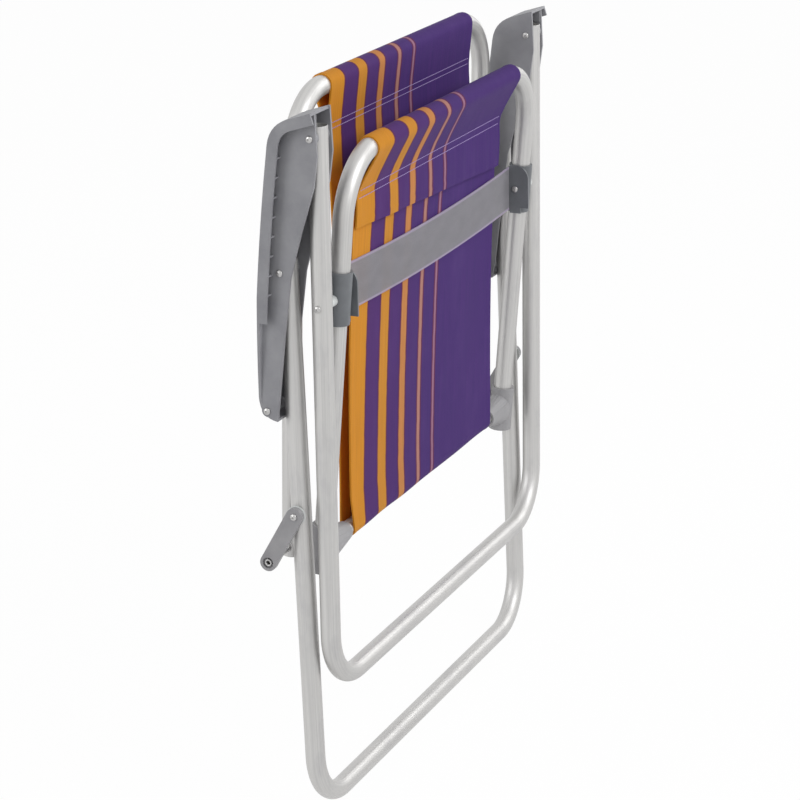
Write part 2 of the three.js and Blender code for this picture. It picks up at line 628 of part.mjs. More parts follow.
// A plate with a rounded top and a tongue below, round the seat pivot
function clipPad() {
  const pad = CLIP_PAD_WIDTH / 2;
  const tongue = CLIP_TONGUE_WIDTH / 2;
  const { x, y } = SEAT_PIVOT;
  const shape = new THREE.Shape();
  shape.absarc(x, y + CLIP_PAD_TOP - pad, pad, 0, Math.PI);
  shape.lineTo(x - pad, y - CLIP_PAD_FOOT);
  shape.lineTo(x - tongue, y - CLIP_PAD_FOOT);
  shape.lineTo(x - tongue, y - CLIP_PAD_FOOT - CLIP_TONGUE_REACH);
  shape.lineTo(x + tongue, y - CLIP_PAD_FOOT - CLIP_TONGUE_REACH);
  shape.lineTo(x + tongue, y - CLIP_PAD_FOOT);
  shape.lineTo(x + pad, y - CLIP_PAD_FOOT);
  return shape;
}

function makeClips() {
  const outer = TUBE_RADIUS + SEAT_GAP + CLIP_WALL;
  const half = CLIP_LENGTH / 2;
  const centre = CROSS_TUBE.distanceTo(SEAT_PIVOT);
  const sleeve = alongSeatTube(outer, centre - half, centre + half);
  const pad = across(clipPad(), SEAT_X - outer, SEAT_X - outer + CLIP_WALL, PAD_STEPS);
  const lug = new THREE.BoxGeometry(CLIP_LUG_REACH + CLIP_WALL, CLIP_LUG_THICKNESS, STRAP_WIDTH);
  lug.translate(SEAT_X - outer - CLIP_LUG_REACH / 2 + CLIP_WALL / 2, SEAT_PIVOT.x + CLIP_LUG_BACK, SEAT_PIVOT.y);
  const clip = cut(join([sleeve, pad, lug]), [
    alongSeatTube(TUBE_RADIUS + SEAT_GAP, centre - half - OVERRUN, centre + half + OVERRUN),
    rod(SEAT_PIVOT, RIVET_RADIUS + HOLE_PLAY, SEAT_X - outer - OVERRUN, SEAT_X + outer + OVERRUN, RIVET_SIDES),
  ]);
  addPair('strap_clip', clip, CLIP_PLASTIC);
}

function makeStrap() {
  const half = SEAT_X - TUBE_RADIUS - SEAT_GAP - CLIP_WALL - STRAP_END_GAP;
  const front = SEAT_PIVOT.x + CLIP_LUG_BACK - CLIP_LUG_THICKNESS / 2 - SEAT_GAP - STRAP_THICKNESS;
  const points = [...Array(STRAP_STEPS + 1).keys()].map((step) => {
    const share = (2 * step) / STRAP_STEPS - 1;
    return new THREE.Vector2(share * half, SEAT_PIVOT.y - STRAP_WIDTH / 2 - STRAP_SAG * (1 - share * share));
  });
  const upper = points.map((point) => new THREE.Vector2(point.x, point.y + STRAP_WIDTH)).reverse();
  const band = fromFront(new THREE.Shape([...points, ...upper]), front, front + STRAP_THICKNESS);
  addPiece('seat_strap', band, STRAP_CLOTH);
}

// Sling

function arcPoints(centre, radius, from, to, steps) {
  return [...Array(steps + 1).keys()].map((step) => {
    const angle = THREE.MathUtils.lerp(from, to, step / steps);
    return new THREE.Vector2(centre.x + radius * Math.cos(angle), centre.y + radius * Math.sin(angle));
  });
}

// Points between a and b that hang off the straight line by a slack, to the left of the way
function slackRun(a, b, slack, steps) {
  const way = b.clone().sub(a).normalize();
  return [...Array(steps - 1).keys()].map((index) => {
    const share = (index + 1) / steps;
    const bow = 4 * slack * share * (1 - share);
    const point = a.clone().lerp(b, share);
    return point.add(new THREE.Vector2(-way.y * bow, way.x * bow));
  });
}

function cloth(points) {
  const geometry = across(strip(points, CLOTH), -SLING_TOP_WIDTH / 2, SLING_TOP_WIDTH / 2);
  const position = geometry.attributes.position;
  const foldWidth = 2 * (LEG_X - BOSS_END_INSET - SLING_BOSS_GAP);
  const flare = foldWidth / SLING_TOP_WIDTH;
  for (let i = 0; i < position.count; i += 1) {
    const share = THREE.MathUtils.clamp((SEAT_BAR.y - position.getZ(i)) / (SEAT_BAR.y - CROSS_TUBE.y), 0, 1);
    position.setX(i, position.getX(i) * THREE.MathUtils.lerp(1, flare, share));
  }
  return geometry;
}

// Seat cloth: flap, pocket over the front bar, panel, and the fold under the cross tube
function makeSeatSling() {
  const pocket = TUBE_RADIUS + CLOTH_PLAY + CLOTH;
  const fold = CROSS_RADIUS + CLOTH_PLAY + CLOTH;
  const panelTop = new THREE.Vector2(SEAT_BAR.x + pocket, SEAT_BAR.y);
  const panelFoot = new THREE.Vector2(CROSS_TUBE.x - fold, CROSS_TUBE.y);
  const panel = slackRun(panelTop, panelFoot, PANEL_SLACK, PANEL_STEPS);
  const points = [
    ...flapPoints(panel, SEAT_BAR, -1).reverse(),
    ...arcPoints(SEAT_BAR, pocket, Math.PI * (1 + POCKET_WRAP_SHARE), 0, POCKET_STEPS),
    ...panel,
    ...arcPoints(CROSS_TUBE, fold, Math.PI, 2 * Math.PI, FOLD_STEPS),
    new THREE.Vector2(CROSS_TUBE.x + fold, CROSS_TUBE.y + SLING_PARTING),
  ];
  addPiece('seat_sling', cloth(points.reverse()), SLING_CLOTH);
}

// The point at a height on a panel that runs down
function panelAt(panel, z) {
  const next = panel.findIndex((point) => point.y < z);
  const from = panel[next - 1];
  const to = panel[next];
  return from.clone().lerp(to, (from.y - z) / (from.y - to.y));
}

// The seam and the free edge of a flap on the front (-1) or rear (1) of a panel that runs down
function flapPoints(panel, bar, side) {
  const seam = panelAt(panel, bar.y - SEAM_DROP);
  const edge = panelAt(panel, bar.y - FLAP_LENGTH);
  seam.x += side * (2 * CLOTH + CLOTH_PLAY);
  edge.x += side * (2 * CLOTH + CLOTH_PLAY + FLAP_FLARE);
  return [seam, edge];
}

// Back cloth: from just above the fold up to a pocket over the top bar, with its flap behind
function makeBackSling() {
  const pocket = TUBE_RADIUS + CLOTH_PLAY + CLOTH;
  const fold = CROSS_RADIUS + CLOTH_PLAY + CLOTH;
  const foot = new THREE.Vector2(CROSS_TUBE.x + fold, CROSS_TUBE.y + SLING_PARTING + SEAT_GAP);
  const seam = new THREE.Vector2(BACK_BAR.x - pocket + BACK_SEAM_INSET, BACK_BAR.y - SEAM_DROP);
  const panel = [...slackRun(foot, seam, PANEL_SLACK / 2, PANEL_STEPS), seam];
  const points = [
    foot,
    ...panel,
    ...arcPoints(BACK_BAR, pocket, Math.PI, -Math.PI * POCKET_WRAP_SHARE, POCKET_STEPS),
    ...flapPoints([...panel].reverse(), BACK_BAR, 1),
  ];
  addPiece('back_sling', cloth(points.reverse()), SLING_CLOTH);
}

makeFrontLegs();
makeRearLegs();
makeSeatFrame();
makeBackFrame();
makeArmrests();
makeArmRivets();
makeBackPivots();
makeSeatPivots();
makeLinks();
makeBrackets();
makeCrossTube();
makeClips();
makeStrap();
makeSeatSling();
makeBackSling();

// The origin is under the middle of the folded chair, at the floor
chair.updateMatrixWorld(true);
const extent = new THREE.Box3().setFromObject(chair, true);
const middle = extent.getCenter(new THREE.Vector3());
chair.position.set(0, -middle.y, -extent.min.z);

export default chair;
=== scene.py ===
"""A folding garden armchair, folded flat and standing upright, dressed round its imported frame.

Metres, +X to the sitter's right, +Y to the rear, +Z up.
"""

import json
import math

import bpy
import numpy as np
from mathutils import Matrix, Vector


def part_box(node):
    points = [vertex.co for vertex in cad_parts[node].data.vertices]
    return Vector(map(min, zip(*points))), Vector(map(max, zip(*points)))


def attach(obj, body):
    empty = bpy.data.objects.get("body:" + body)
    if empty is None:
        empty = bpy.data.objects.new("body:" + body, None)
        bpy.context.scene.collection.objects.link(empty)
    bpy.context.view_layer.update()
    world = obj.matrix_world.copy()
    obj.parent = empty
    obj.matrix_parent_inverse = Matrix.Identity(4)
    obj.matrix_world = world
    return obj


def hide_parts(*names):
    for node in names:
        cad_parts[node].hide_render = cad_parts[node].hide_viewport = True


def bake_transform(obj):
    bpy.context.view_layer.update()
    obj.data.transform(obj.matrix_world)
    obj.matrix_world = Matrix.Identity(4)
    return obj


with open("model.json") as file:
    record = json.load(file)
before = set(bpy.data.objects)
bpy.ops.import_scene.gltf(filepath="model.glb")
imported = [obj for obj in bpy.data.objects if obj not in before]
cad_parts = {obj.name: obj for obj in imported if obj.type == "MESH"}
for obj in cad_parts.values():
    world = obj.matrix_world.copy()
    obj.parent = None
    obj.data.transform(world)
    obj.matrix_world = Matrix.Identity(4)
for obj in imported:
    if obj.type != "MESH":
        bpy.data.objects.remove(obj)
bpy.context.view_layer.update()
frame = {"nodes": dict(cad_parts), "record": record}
RIGHT, LEFT = 1, -1
SIDES = {"right": RIGHT, "left": LEFT}

# Camera: focal length in pixels of the photo, place and axes, fitted to the photo

PHOTO_WIDTH = 800
FOCAL_PIXELS = 2689.13
SENSOR_WIDTH = 36.0
CAMERA_PLACE = (-2.721386, -1.198294, 1.374905)
CAMERA_RIGHT = (0.40454, -0.91437, -0.01642)
CAMERA_DOWN = (-0.29224, -0.11224, -0.94973)
CAMERA_FORWARD = (0.86657, 0.38900, -0.31262)

# Tubes: the section, half the span between the side tubes, lengths along the sides, bend radii
TUBE_RADIUS = 0.011
TUBE_WALL = 0.0012
TUBE_EDGE = 0.0003  # rounding of a cut end
CROSS_TUBE_RADIUS = 0.008
LEG_X = 0.300
SEAT_X = 0.260
FRONT_LEG_LENGTH = 0.6165  # arm pivot to floor bar
REAR_LEG_LENGTH = 0.620  # leg pivot to floor bar
SEAT_OVERHANG = 0.1515  # seat pivot to seat bar
BACK_LENGTH = 0.498  # hinge to back bar
FRONT_LEG_TIP = 0.011  # tube past the arm pivot
REAR_LEG_TIP = 0.012  # tube past the leg pivot
BACK_TUBE_TIP = 0.011  # tube past the hinge
SEAT_TUBE_REACH = 0.0237  # tube past the cross tube
LEG_BEND = 0.064
SEAT_BEND = 0.068

# Facets of round pieces, and the angle over which an edge stays sharp
TUBE_SIDES = 48
BEND_STEPS = 26
TURNED_SIDES = 48
SHARP_ANGLE = math.radians(40)
TURNED_SHARP_ANGLE = math.radians(50)
CLOTH_SHARP_ANGLE = math.radians(60)


def side_point(value):
    """The (y, z) of a place, as an array."""
    return np.array([value[1], value[2]], float)


def middle_of(node):
    """The (y, z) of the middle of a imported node."""
    low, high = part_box(node)
    return side_point((low + high) / 2)


def along(a, b, distance):
    """The point on the line from a to b, so far past a."""
    way = b - a
    return a + way / np.linalg.norm(way) * distance


# Pivots and bars in side view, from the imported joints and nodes

JOINTS = {joint["name"]: side_point(joint["pos_m"]) for joint in frame["record"]["behaviour"]["joints"]}
ARM_PIVOT = JOINTS["arm_fold"]
SEAT_PIVOT = JOINTS["seat_fold"]
LEG_PIVOT = JOINTS["rear_leg_fold"]
HINGE = JOINTS["back_fold"]
LINK_PIVOT = JOINTS["link_swing"]
BACK_PIVOT = middle_of("arm_back_rivet_right")
CROSS_TUBE = middle_of("cross_tube")
FRONT_BAR = ARM_PIVOT - np.array([0, FRONT_LEG_LENGTH])
REAR_BAR = along(LEG_PIVOT, LINK_PIVOT, REAR_LEG_LENGTH)
SEAT_BAR = along(SEAT_PIVOT, CROSS_TUBE, -SEAT_OVERHANG)
BACK_BAR = along(HINGE, BACK_PIVOT, BACK_LENGTH)


# Materials


class Shader:
    """A material under construction, with short ways to add and link its nodes."""

    def __init__(self, name, **sockets):
        self.material = bpy.data.materials.new(name)
        self.material.use_nodes = True
        self.nodes = self.material.node_tree.nodes
        self.links = self.material.node_tree.links
        self.surface = next(node for node in self.nodes if node.type == "BSDF_PRINCIPLED")
        self.plug(self.surface, sockets)

    def plug(self, node, inputs):
        """Sets a node's inputs, or links those that are given a socket."""
        for key, value in inputs.items():
            name = key.replace("_", " ") if isinstance(key, str) else key
            if isinstance(value, bpy.types.NodeSocket):
                self.links.new(value, node.inputs[name])
            else:
                node.inputs[name].default_value = value

    def add(self, kind, inputs, **settings):
        """A new node of a kind, with its settings and inputs."""
        node = self.nodes.new("ShaderNode" + kind)
        for key, value in settings.items():
            setattr(node, key, value)
        self.plug(node, inputs)
        return node

    def attribute(self, name):
        """A vector that the mesh carries at its points."""
        return self.add("Attribute", {}, attribute_name=name).outputs["Vector"]

    def place(self):
        """Place on the object, in metres."""
        return self.add("TexCoord", {}).outputs["Object"]

    def scaled(self, vector, scale):
        return self.add("Mapping", {"Vector": vector, "Scale": scale}).outputs["Vector"]

    def noise(self, vector, scale, detail=2.0, roughness=0.5):
        inputs = {"Vector": vector, "Scale": scale, "Detail": detail, "Roughness": roughness}
        return self.add("TexNoise", inputs).outputs["Fac"]

    def math(self, operation, a, b=0.0):
        return self.add("Math", {0: a, 1: b}, operation=operation).outputs[0]

    def spread(self, value, low, high, to_low=0.0, to_high=1.0):
        """The value's range low to high, mapped on another range and clamped."""
        inputs = {0: value, 1: low, 2: high, 3: to_low, 4: to_high}
        return self.add("MapRange", inputs, clamp=True).outputs[0]

    def mix(self, share, a, b):
        """Colour a, with a share of colour b."""
        node = self.add("Mix", {}, data_type="RGBA")
        for index, value in ((0, share), (6, a), (7, b)):
            if isinstance(value, bpy.types.NodeSocket):
                self.links.new(value, node.inputs[index])
            else:
                node.inputs[index].default_value = value
        return node.outputs[2]

    def split(self, vector):
        return self.add("SeparateXYZ", {"Vector": vector}).outputs

    def bump(self, height, strength, distance, under=None):
        """A normal that follows a height, laid over another normal if one is given."""
        inputs = {"Height": height, "Strength": strength, "Distance": distance}
        if under is not None:
            inputs["Normal"] = under
        return self.add("Bump", inputs).outputs["Normal"]

    def cover(self, share, other):
        """Lets a share of another surface shader take the place of the main one."""
        blend = self.add("MixShader", {0: share, 1: self.surface.outputs[0], 2: other.outputs[0]})
        out = next(node for node in self.nodes if node.type == "OUTPUT_MATERIAL")
        self.links.new(blend.outputs[0], out.inputs["Surface"])
        return self.material

    def finish(self, **sockets):
        self.plug(self.surface, sockets)
        return self.material


def colour(red, green, blue):
    """An sRGB colour of 0 to 255, as the linear colour a shader takes."""
    def linear(value):
        share = value / 255
        return share / 12.92 if share <= 0.04045 else ((share + 0.055) / 1.055) ** 2.4
    return (linear(red), linear(green), linear(blue), 1.0)


def tube_material():
    """Satin aluminium tube: drawing streaks along it and faint stains."""
    shader = Shader("satin_tube", Metallic=0.78)
    place = shader.attribute("straight")
    streaks = shader.noise(shader.scaled(place, (900, 900, 6)), 1.0, 3.0, 0.6)
    stains = shader.noise(shader.scaled(place, (40, 40, 14)), 1.0, 4.0, 0.65)
    tone = shader.mix(shader.spread(streaks, 0.3, 0.7), colour(188, 187, 186), colour(206, 205, 203))
    tone = shader.mix(shader.spread(stains, 0.52, 0.75, 0.0, 0.5), tone, colour(172, 171, 174))
    rough = shader.spread(shader.math("ADD", streaks, stains), 0.6, 1.4, 0.4, 0.54)
    normal = shader.bump(streaks, 0.06, 0.0002)
    return shader.finish(Base_Color=tone, Roughness=rough, Normal=normal)


def rivet_material():
    """Bright rivet metal with fine marks."""
    shader = Shader("rivet_metal", Metallic=0.85)
    place = shader.place()
    marks = shader.noise(shader.scaled(place, (1500, 1500, 1500)), 1.0, 3.0)
    tone = shader.mix(shader.spread(marks, 0.35, 0.65), colour(168, 167, 166), colour(205, 204, 203))
    rough = shader.spread(marks, 0.3, 0.7, 0.28, 0.42)
    return shader.finish(Base_Color=tone, Roughness=rough, Normal=shader.bump(marks, 0.15, 0.0001))


def plastic_material(name, dark, light, roughness):
    """Moulded plastic: fine grain, slow changes of tone and rubbed spots."""
    shader = Shader(name, Metallic=0.0)
    place = shader.place()
    grain = shader.noise(place, 1400.0, 2.0)
    clouds = shader.noise(place, 28.0, 4.0, 0.6)
    rubs = shader.noise(shader.scaled(place, (60, 60, 240)), 1.0, 4.0, 0.7)
    tone = shader.mix(shader.spread(clouds, 0.3, 0.7), dark, light)
    tone = shader.mix(shader.spread(rubs, 0.6, 0.8, 0.0, 0.35), tone, light)
    rough = shader.spread(clouds, 0.3, 0.7, roughness - 0.05, roughness + 0.06)
    normal = shader.bump(clouds, 0.1, 0.0006, shader.bump(grain, 0.18, 0.00012))
    return shader.finish(Base_Color=tone, Roughness=rough, Normal=normal)


# Bands of the cloth, as shares of its width from its left edge, with the colour of each
STRIPES = [
    (-0.05, 0.0963, colour(234, 160, 46)), (0.1908, 0.2464, colour(228, 158, 56)),
    (0.3289, 0.3671, colour(222, 152, 88)), (0.4580, 0.4802, colour(200, 144, 134)),
    (0.5647, 0.5795, colour(178, 128, 156)),
]
PURPLE = colour(85, 50, 128)
PURPLE_DARK = colour(68, 42, 116)
PURPLE_RED = colour(98, 48, 116)
PURPLE_WORN = colour(100, 68, 142)
FRINGE = colour(108, 40, 70)
SHADE = (0.01, 0.01, 0.015, 1.0)  # between the threads
CLOTH_WIDTH = 0.396
STRAP_WIDTH = 0.053
THREAD = 0.00075
SHOW_THROUGH = 0.22  # share of light that the cloth lets through


def woven(shader, place):
    """Height of a plain weave over the cloth's own coordinates, in shares of a thread."""
    across, length, _ = shader.split(place)
    turn = 2 * math.pi / (2 * THREAD)
    warp = shader.math("SINE", shader.math("MULTIPLY", across, turn))
    weft = shader.math("SINE", shader.math("MULTIPLY", length, turn))
    return shader.math("MULTIPLY", warp, weft)


def sling_material():
    """Striped sling cloth: a dyed weave with orange bands, dark fringes and lengthwise streaks."""
    shader = Shader("sling_cloth", Metallic=0.0, Specular_IOR_Level=0.14,
                    Sheen_Weight=0.04, Sheen_Roughness=0.5)
    place = shader.attribute("cloth")
    across = shader.split(place)[0]
    edge_wander = shader.noise(shader.scaled(place, (30, 60, 1)), 1.0, 2.0)
    share = shader.math("ADD", shader.math("DIVIDE", across, CLOTH_WIDTH),
                        shader.spread(edge_wander, 0.0, 1.0, 0.4975, 0.5025))
    streaks = shader.noise(shader.scaled(place, (620, 9, 1)), 1.0, 3.0, 0.65)
    clouds = shader.noise(shader.scaled(place, (16, 9, 1)), 1.0, 3.0, 0.55)
    tone = shader.mix(shader.spread(streaks, 0.3, 0.7), PURPLE_DARK, PURPLE)
    tone = shader.mix(shader.spread(share, 0.05, 0.55, 0.55, 0.0), tone, PURPLE_RED)
    tone = shader.mix(shader.spread(clouds, 0.5, 0.8, 0.0, 0.35), tone, PURPLE_WORN)
    for low, high, band in STRIPES:
        centre, half = (low + high) / 2, (high - low) / 2
        away = shader.math("ABSOLUTE", shader.math("SUBTRACT", share, centre))
        fringe = shader.spread(away, half + 0.003, half + 0.010, 0.85, 0.0)
        inside = shader.spread(away, half - 0.003, half + 0.001, 1.0, 0.0)
        deep = (band[0] * 0.84, band[1] * 0.8, band[2] * 0.78, 1.0)
        tone = shader.mix(fringe, tone, FRINGE)
        tone = shader.mix(inside, tone, shader.mix(shader.spread(streaks, 0.3, 0.7), deep, band))
    weave = woven(shader, place)
    tone = shader.mix(shader.spread(weave, -1.0, 1.0, 0.12, 0.0), tone, SHADE)
    normal = shader.bump(clouds, 0.25, 0.002, shader.bump(weave, 0.25, 0.00015))
    rough = shader.spread(streaks, 0.2, 0.8, 0.62, 0.74)
    shader.finish(Base_Color=tone, Roughness=rough, Normal=normal)
    through = shader.add("BsdfTranslucent", {"Color": tone})
    return shader.cover(SHOW_THROUGH, through)


def strap_material():
    """Open woven grey strap that lets a little of what is behind it through."""
    shader = Shader("strap_net", Metallic=0.0, Alpha=0.62, Sheen_Weight=0.15)
    place = shader.attribute("cloth")
    drop = shader.split(place)[1]
    edge = shader.math("ABSOLUTE", shader.math("SUBTRACT", drop, STRAP_WIDTH / 2))
    weave = woven(shader, place)
    clouds = shader.noise(shader.scaled(place, (30, 60, 1)), 1.0, 3.0)
    tone = shader.mix(shader.spread(weave, -1.0, 1.0), colour(124, 123, 129), colour(158, 156, 162))
    tone = shader.mix(shader.spread(clouds, 0.4, 0.8, 0.0, 0.4), tone, colour(164, 162, 168))
    selvage = shader.spread(edge, STRAP_WIDTH / 2 - 0.003, STRAP_WIDTH / 2 - 0.002)
    tone = shader.mix(selvage, tone, colour(178, 166, 190))
    return shader.finish(Base_Color=tone, Roughness=0.62, Normal=shader.bump(weave, 0.3, 0.0002))


def thread_material():
    """Pale lilac sewing thread with a twist."""
    shader = Shader("sewing_thread", Metallic=0.0)
    place = shader.place()
    twist = shader.noise(shader.scaled(place, (3000, 3000, 3000)), 1.0, 2.0)
    tone = shader.mix(shader.spread(twist, 0.3, 0.7), colour(146, 124, 186), colour(188, 168, 216))
    return shader.finish(Base_Color=tone, Roughness=0.6, Normal=shader.bump(twist, 0.3, 0.0002))


TUBE = tube_material()
RIVET = rivet_material()
ARM_PLASTIC = plastic_material("arm_plastic", colour(132, 132, 137), colour(150, 150, 154), 0.5)
JOINT_PLASTIC = plastic_material("joint_plastic", colour(140, 139, 142), colour(158, 157, 159), 0.46)
CLIP_PLASTIC = plastic_material("clip_plastic", colour(98, 101, 105), colour(116, 119, 123), 0.5)
SPACER_PLASTIC = plastic_material("spacer_plastic", colour(196, 199, 198), colour(214, 217, 216), 0.46)
SLING = sling_material()
STRAP = strap_material()
THREAD_LOOK = thread_material()


# Meshes


def make_object(name, points, faces, material, vectors=None, sharp=SHARP_ANGLE):
    """A smooth shaded mesh object, with vector attributes of its points."""
    mesh = bpy.data.meshes.new(name)
    mesh.from_pydata([tuple(point) for point in points], [], [tuple(face) for face in faces])
    mesh.materials.append(material)
    mesh.polygons.foreach_set("use_smooth", [True] * len(mesh.polygons))
    for key, values in (vectors or {}).items():
        attribute = mesh.attributes.new(key, "FLOAT_VECTOR", "POINT")
        attribute.data.foreach_set("vector", np.asarray(values, np.float32).ravel())
    mesh.update()
    mesh.set_sharp_from_angle(angle=sharp)
    made = bpy.data.objects.new(name, mesh)
    bpy.context.scene.collection.objects.link(made)
    return made


def ring_faces(first, second, flip=False):
    """Quads between two closed rings of point numbers, or triangles to a single point."""
    count = max(len(first), len(second))
    faces = []
    for i in range(count):
        j = (i + 1) % count
        loop = [first[i % len(first)], first[j % len(first)],
                second[j % len(second)], second[i % len(second)]]
        face = [point for k, point in enumerate(loop) if point != loop[k - 1]]
        faces.append(face[::-1] if flip else face)
    return faces


def frame_stations(half_span, bend, length):
    """Centre line of a U frame: (x, height, x direction, height direction) at each station."""
    stations = [(-half_span, length, 0.0, -1.0)]
    for side in (LEFT, RIGHT):
        for step in range(BEND_STEPS + 1):
            turn = step / BEND_STEPS * math.pi / 2
            angle = turn if side == LEFT else math.pi / 2 - turn
            x = side * (half_span - bend + bend * math.cos(angle))
            height = bend - bend * math.sin(angle)
            stations.append((x, height, math.sin(angle), side * math.cos(angle)))
    stations.append((half_span, length, 0.0, 1.0))
    return stations


def bent_tube(name, half_span, bend, length, bar, toward, node, body):
    """A hollow bent U tube that stands with its bar at one side point and leans toward another."""
    stations = frame_stations(half_span, bend, length)
    travelled = np.concatenate([[0.0], np.cumsum([
        math.hypot(b[0] - a[0], b[1] - a[1]) for a, b in zip(stations, stations[1:])])])
    inner = TUBE_RADIUS - TUBE_WALL
    last = len(stations) - 1
    rings = [(0, 0.0, TUBE_RADIUS - TUBE_EDGE), (0, TUBE_EDGE, TUBE_RADIUS)]
    rings += [(index, 0.0, TUBE_RADIUS) for index in range(1, last)]
    rings += [(last, -TUBE_EDGE, TUBE_RADIUS), (last, 0.0, TUBE_RADIUS - TUBE_EDGE)]
    rings += [(last, 0.0, inner + TUBE_EDGE), (last, -TUBE_EDGE, inner)]
    rings += [(index, 0.0, inner) for index in range(last - 1, 0, -1)]
    rings += [(0, TUBE_EDGE, inner), (0, 0.0, inner + TUBE_EDGE)]
    lean = (toward - bar) / np.linalg.norm(toward - bar)
    up = np.array([0.0, lean[0], lean[1]])
    out = np.array([0.0, lean[1], -lean[0]])
    sideways = np.array([1.0, 0.0, 0.0])
    foot = np.array([0.0, bar[0], bar[1]])
    points, straight = [], []
    for index, shift, radius in rings:
        x, height, way_x, way_up = stations[index]
        way = sideways * way_x + up * way_up
        centre = foot + sideways * x + up * height + way * shift
        cross = np.cross(way, out)
        for side in range(TUBE_SIDES):
            angle = 2 * math.pi * side / TUBE_SIDES
            points.append(centre + radius * (math.cos(angle) * out + math.sin(angle) * cross))
            straight.append((radius * math.cos(angle), radius * math.sin(angle), travelled[index] + shift))
    numbers = [list(range(i * TUBE_SIDES, (i + 1) * TUBE_SIDES)) for i in range(len(rings))]
    faces = [face for a, b in zip(numbers, numbers[1:] + numbers[:1]) for face in ring_faces(a, b)]
    made = make_object(name, points, faces, TUBE, {"straight": straight})
    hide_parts(node)
    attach(made, body)
    return made


def turned(name, point, profile, side, material, node, body, hollow=False):
    """A piece turned about a line across the chair. profile lists (distance from the middle, radius)."""
    points, straight, numbers = [], [], []
    for x, radius in profile:
        count = TURNED_SIDES if radius > 0 else 1
        numbers.append(list(range(len(points), len(points) + count)))
        for step in range(count):
            angle = 2 * math.pi * step / TURNED_SIDES
            y, z = radius * math.cos(angle), radius * math.sin(angle)
            points.append((side * x, point[0] + y, point[1] + z))
            straight.append((y, z, x))
    following = numbers[1:] + numbers[:1] if hollow else numbers[1:]
    faces = [face for a, b in zip(numbers, following) for face in ring_faces(a, b, flip=side == RIGHT)]
    made = make_object(name, points, faces, material, {"straight": straight}, TURNED_SHARP_ANGLE)
    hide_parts(node)
    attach(made, body)
    return made


# Rivets, the rings that they run through, and the hollow hinge pins
HEAD_RADIUS = 0.0038
HEAD_HEIGHT = 0.002
HEAD_EDGE = 0.0005
SHANK_RADIUS = 0.0026
DIMPLE_RADIUS = 0.0013
DIMPLE_FOOT = 0.75  # radius at the dimple's floor, as a share of the one at its mouth
DIMPLE_DEPTH = 0.0008
DOME_STEPS = 8
RIVET_BORE = 0.0029
RING_EDGE = 0.0004
BACK_SPACER_RADIUS = 0.0085
SEAT_SPACER_RADIUS = 0.006
LINK_WASHER_RADIUS = 0.0105
PIN_RADIUS = 0.004
PIN_BORE = 0.0024
PIN_RIM = 0.005
PIN_RIM_DEPTH = 0.0014
PIN_STEP_DEPTH = 0.0017
RIVETS = [
    ("arm_front_rivet", ARM_PIVOT, "armrests"), ("arm_leg_rivet", LEG_PIVOT, "armrests"),
    ("seat_rivet", SEAT_PIVOT, "front_legs"), ("link_rivet", LINK_PIVOT, "rear_legs"),
]
RINGS = [
    ("back_spacer", BACK_PIVOT, BACK_SPACER_RADIUS, "back"),
    ("seat_spacer", SEAT_PIVOT, SEAT_SPACER_RADIUS, "front_legs"),
    ("link_washer", LINK_PIVOT, LINK_WASHER_RADIUS, "rear_legs"),
]


def head(at, way):
    """Profile of a domed, dimpled rivet head from its seat to its middle; way is +1 outward."""
    rim = [
        (at, HEAD_RADIUS - HEAD_EDGE / 3), (at + way * HEAD_EDGE / 3, HEAD_RADIUS),
        (at + way * HEAD_EDGE, HEAD_RADIUS),
    ]
    dome = []
    for step in range(1, DOME_STEPS):
        angle = step / DOME_STEPS * math.pi / 2
        radius = HEAD_RADIUS * math.cos(angle)
        if radius > DIMPLE_RADIUS:
            dome.append((at + way * (HEAD_EDGE + (HEAD_HEIGHT - HEAD_EDGE) * math.sin(angle)), radius))
    top = at + way * HEAD_HEIGHT
    floor = top - way * DIMPLE_DEPTH
    dimple = [(top, DIMPLE_RADIUS), (floor, DIMPLE_RADIUS * DIMPLE_FOOT), (floor, 0.0)]
    return rim + dome + dimple


def rivet_profile(inner, outer):
    """A rivet with its heads seated at two distances from the middle."""
    return head(inner, -1)[::-1] + [(inner, SHANK_RADIUS), (outer, SHANK_RADIUS)] + head(outer, 1)


def span_of(node):
    """How far out a right-hand node starts and ends."""
    low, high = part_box(node)
    return low.x, high.x


def ring_profile(inner, outer, radius, bore):
    """A ring with rounded rims."""
    edge = RING_EDGE
    return [
        (inner, bore + edge), (inner, radius - edge), (inner + edge, radius), (outer - edge, radius),
        (outer, radius - edge), (outer, bore + edge), (outer - edge, bore), (inner + edge, bore),
    ]


def make_rivets(name, side):
    """The rivets that are whole, with a head at each end."""
    for stem, point, body in RIVETS:
        inner, outer = span_of(f"{stem}_right")
        profile = rivet_profile(inner + HEAD_HEIGHT, outer - HEAD_HEIGHT)
        turned(f"turned_{stem}_{name}", point, profile, side, RIVET, f"{stem}_{name}", body)


def make_rings(name, side):
    """Spacers and washers, which the rivets run through."""
    for stem, point, radius, body in RINGS:
        inner, outer = span_of(f"{stem}_right")
        turned(f"turned_{stem}_{name}", point, ring_profile(inner, outer, radius, RIVET_BORE), side,
               SPACER_PLASTIC, f"{stem}_{name}", body, hollow=True)


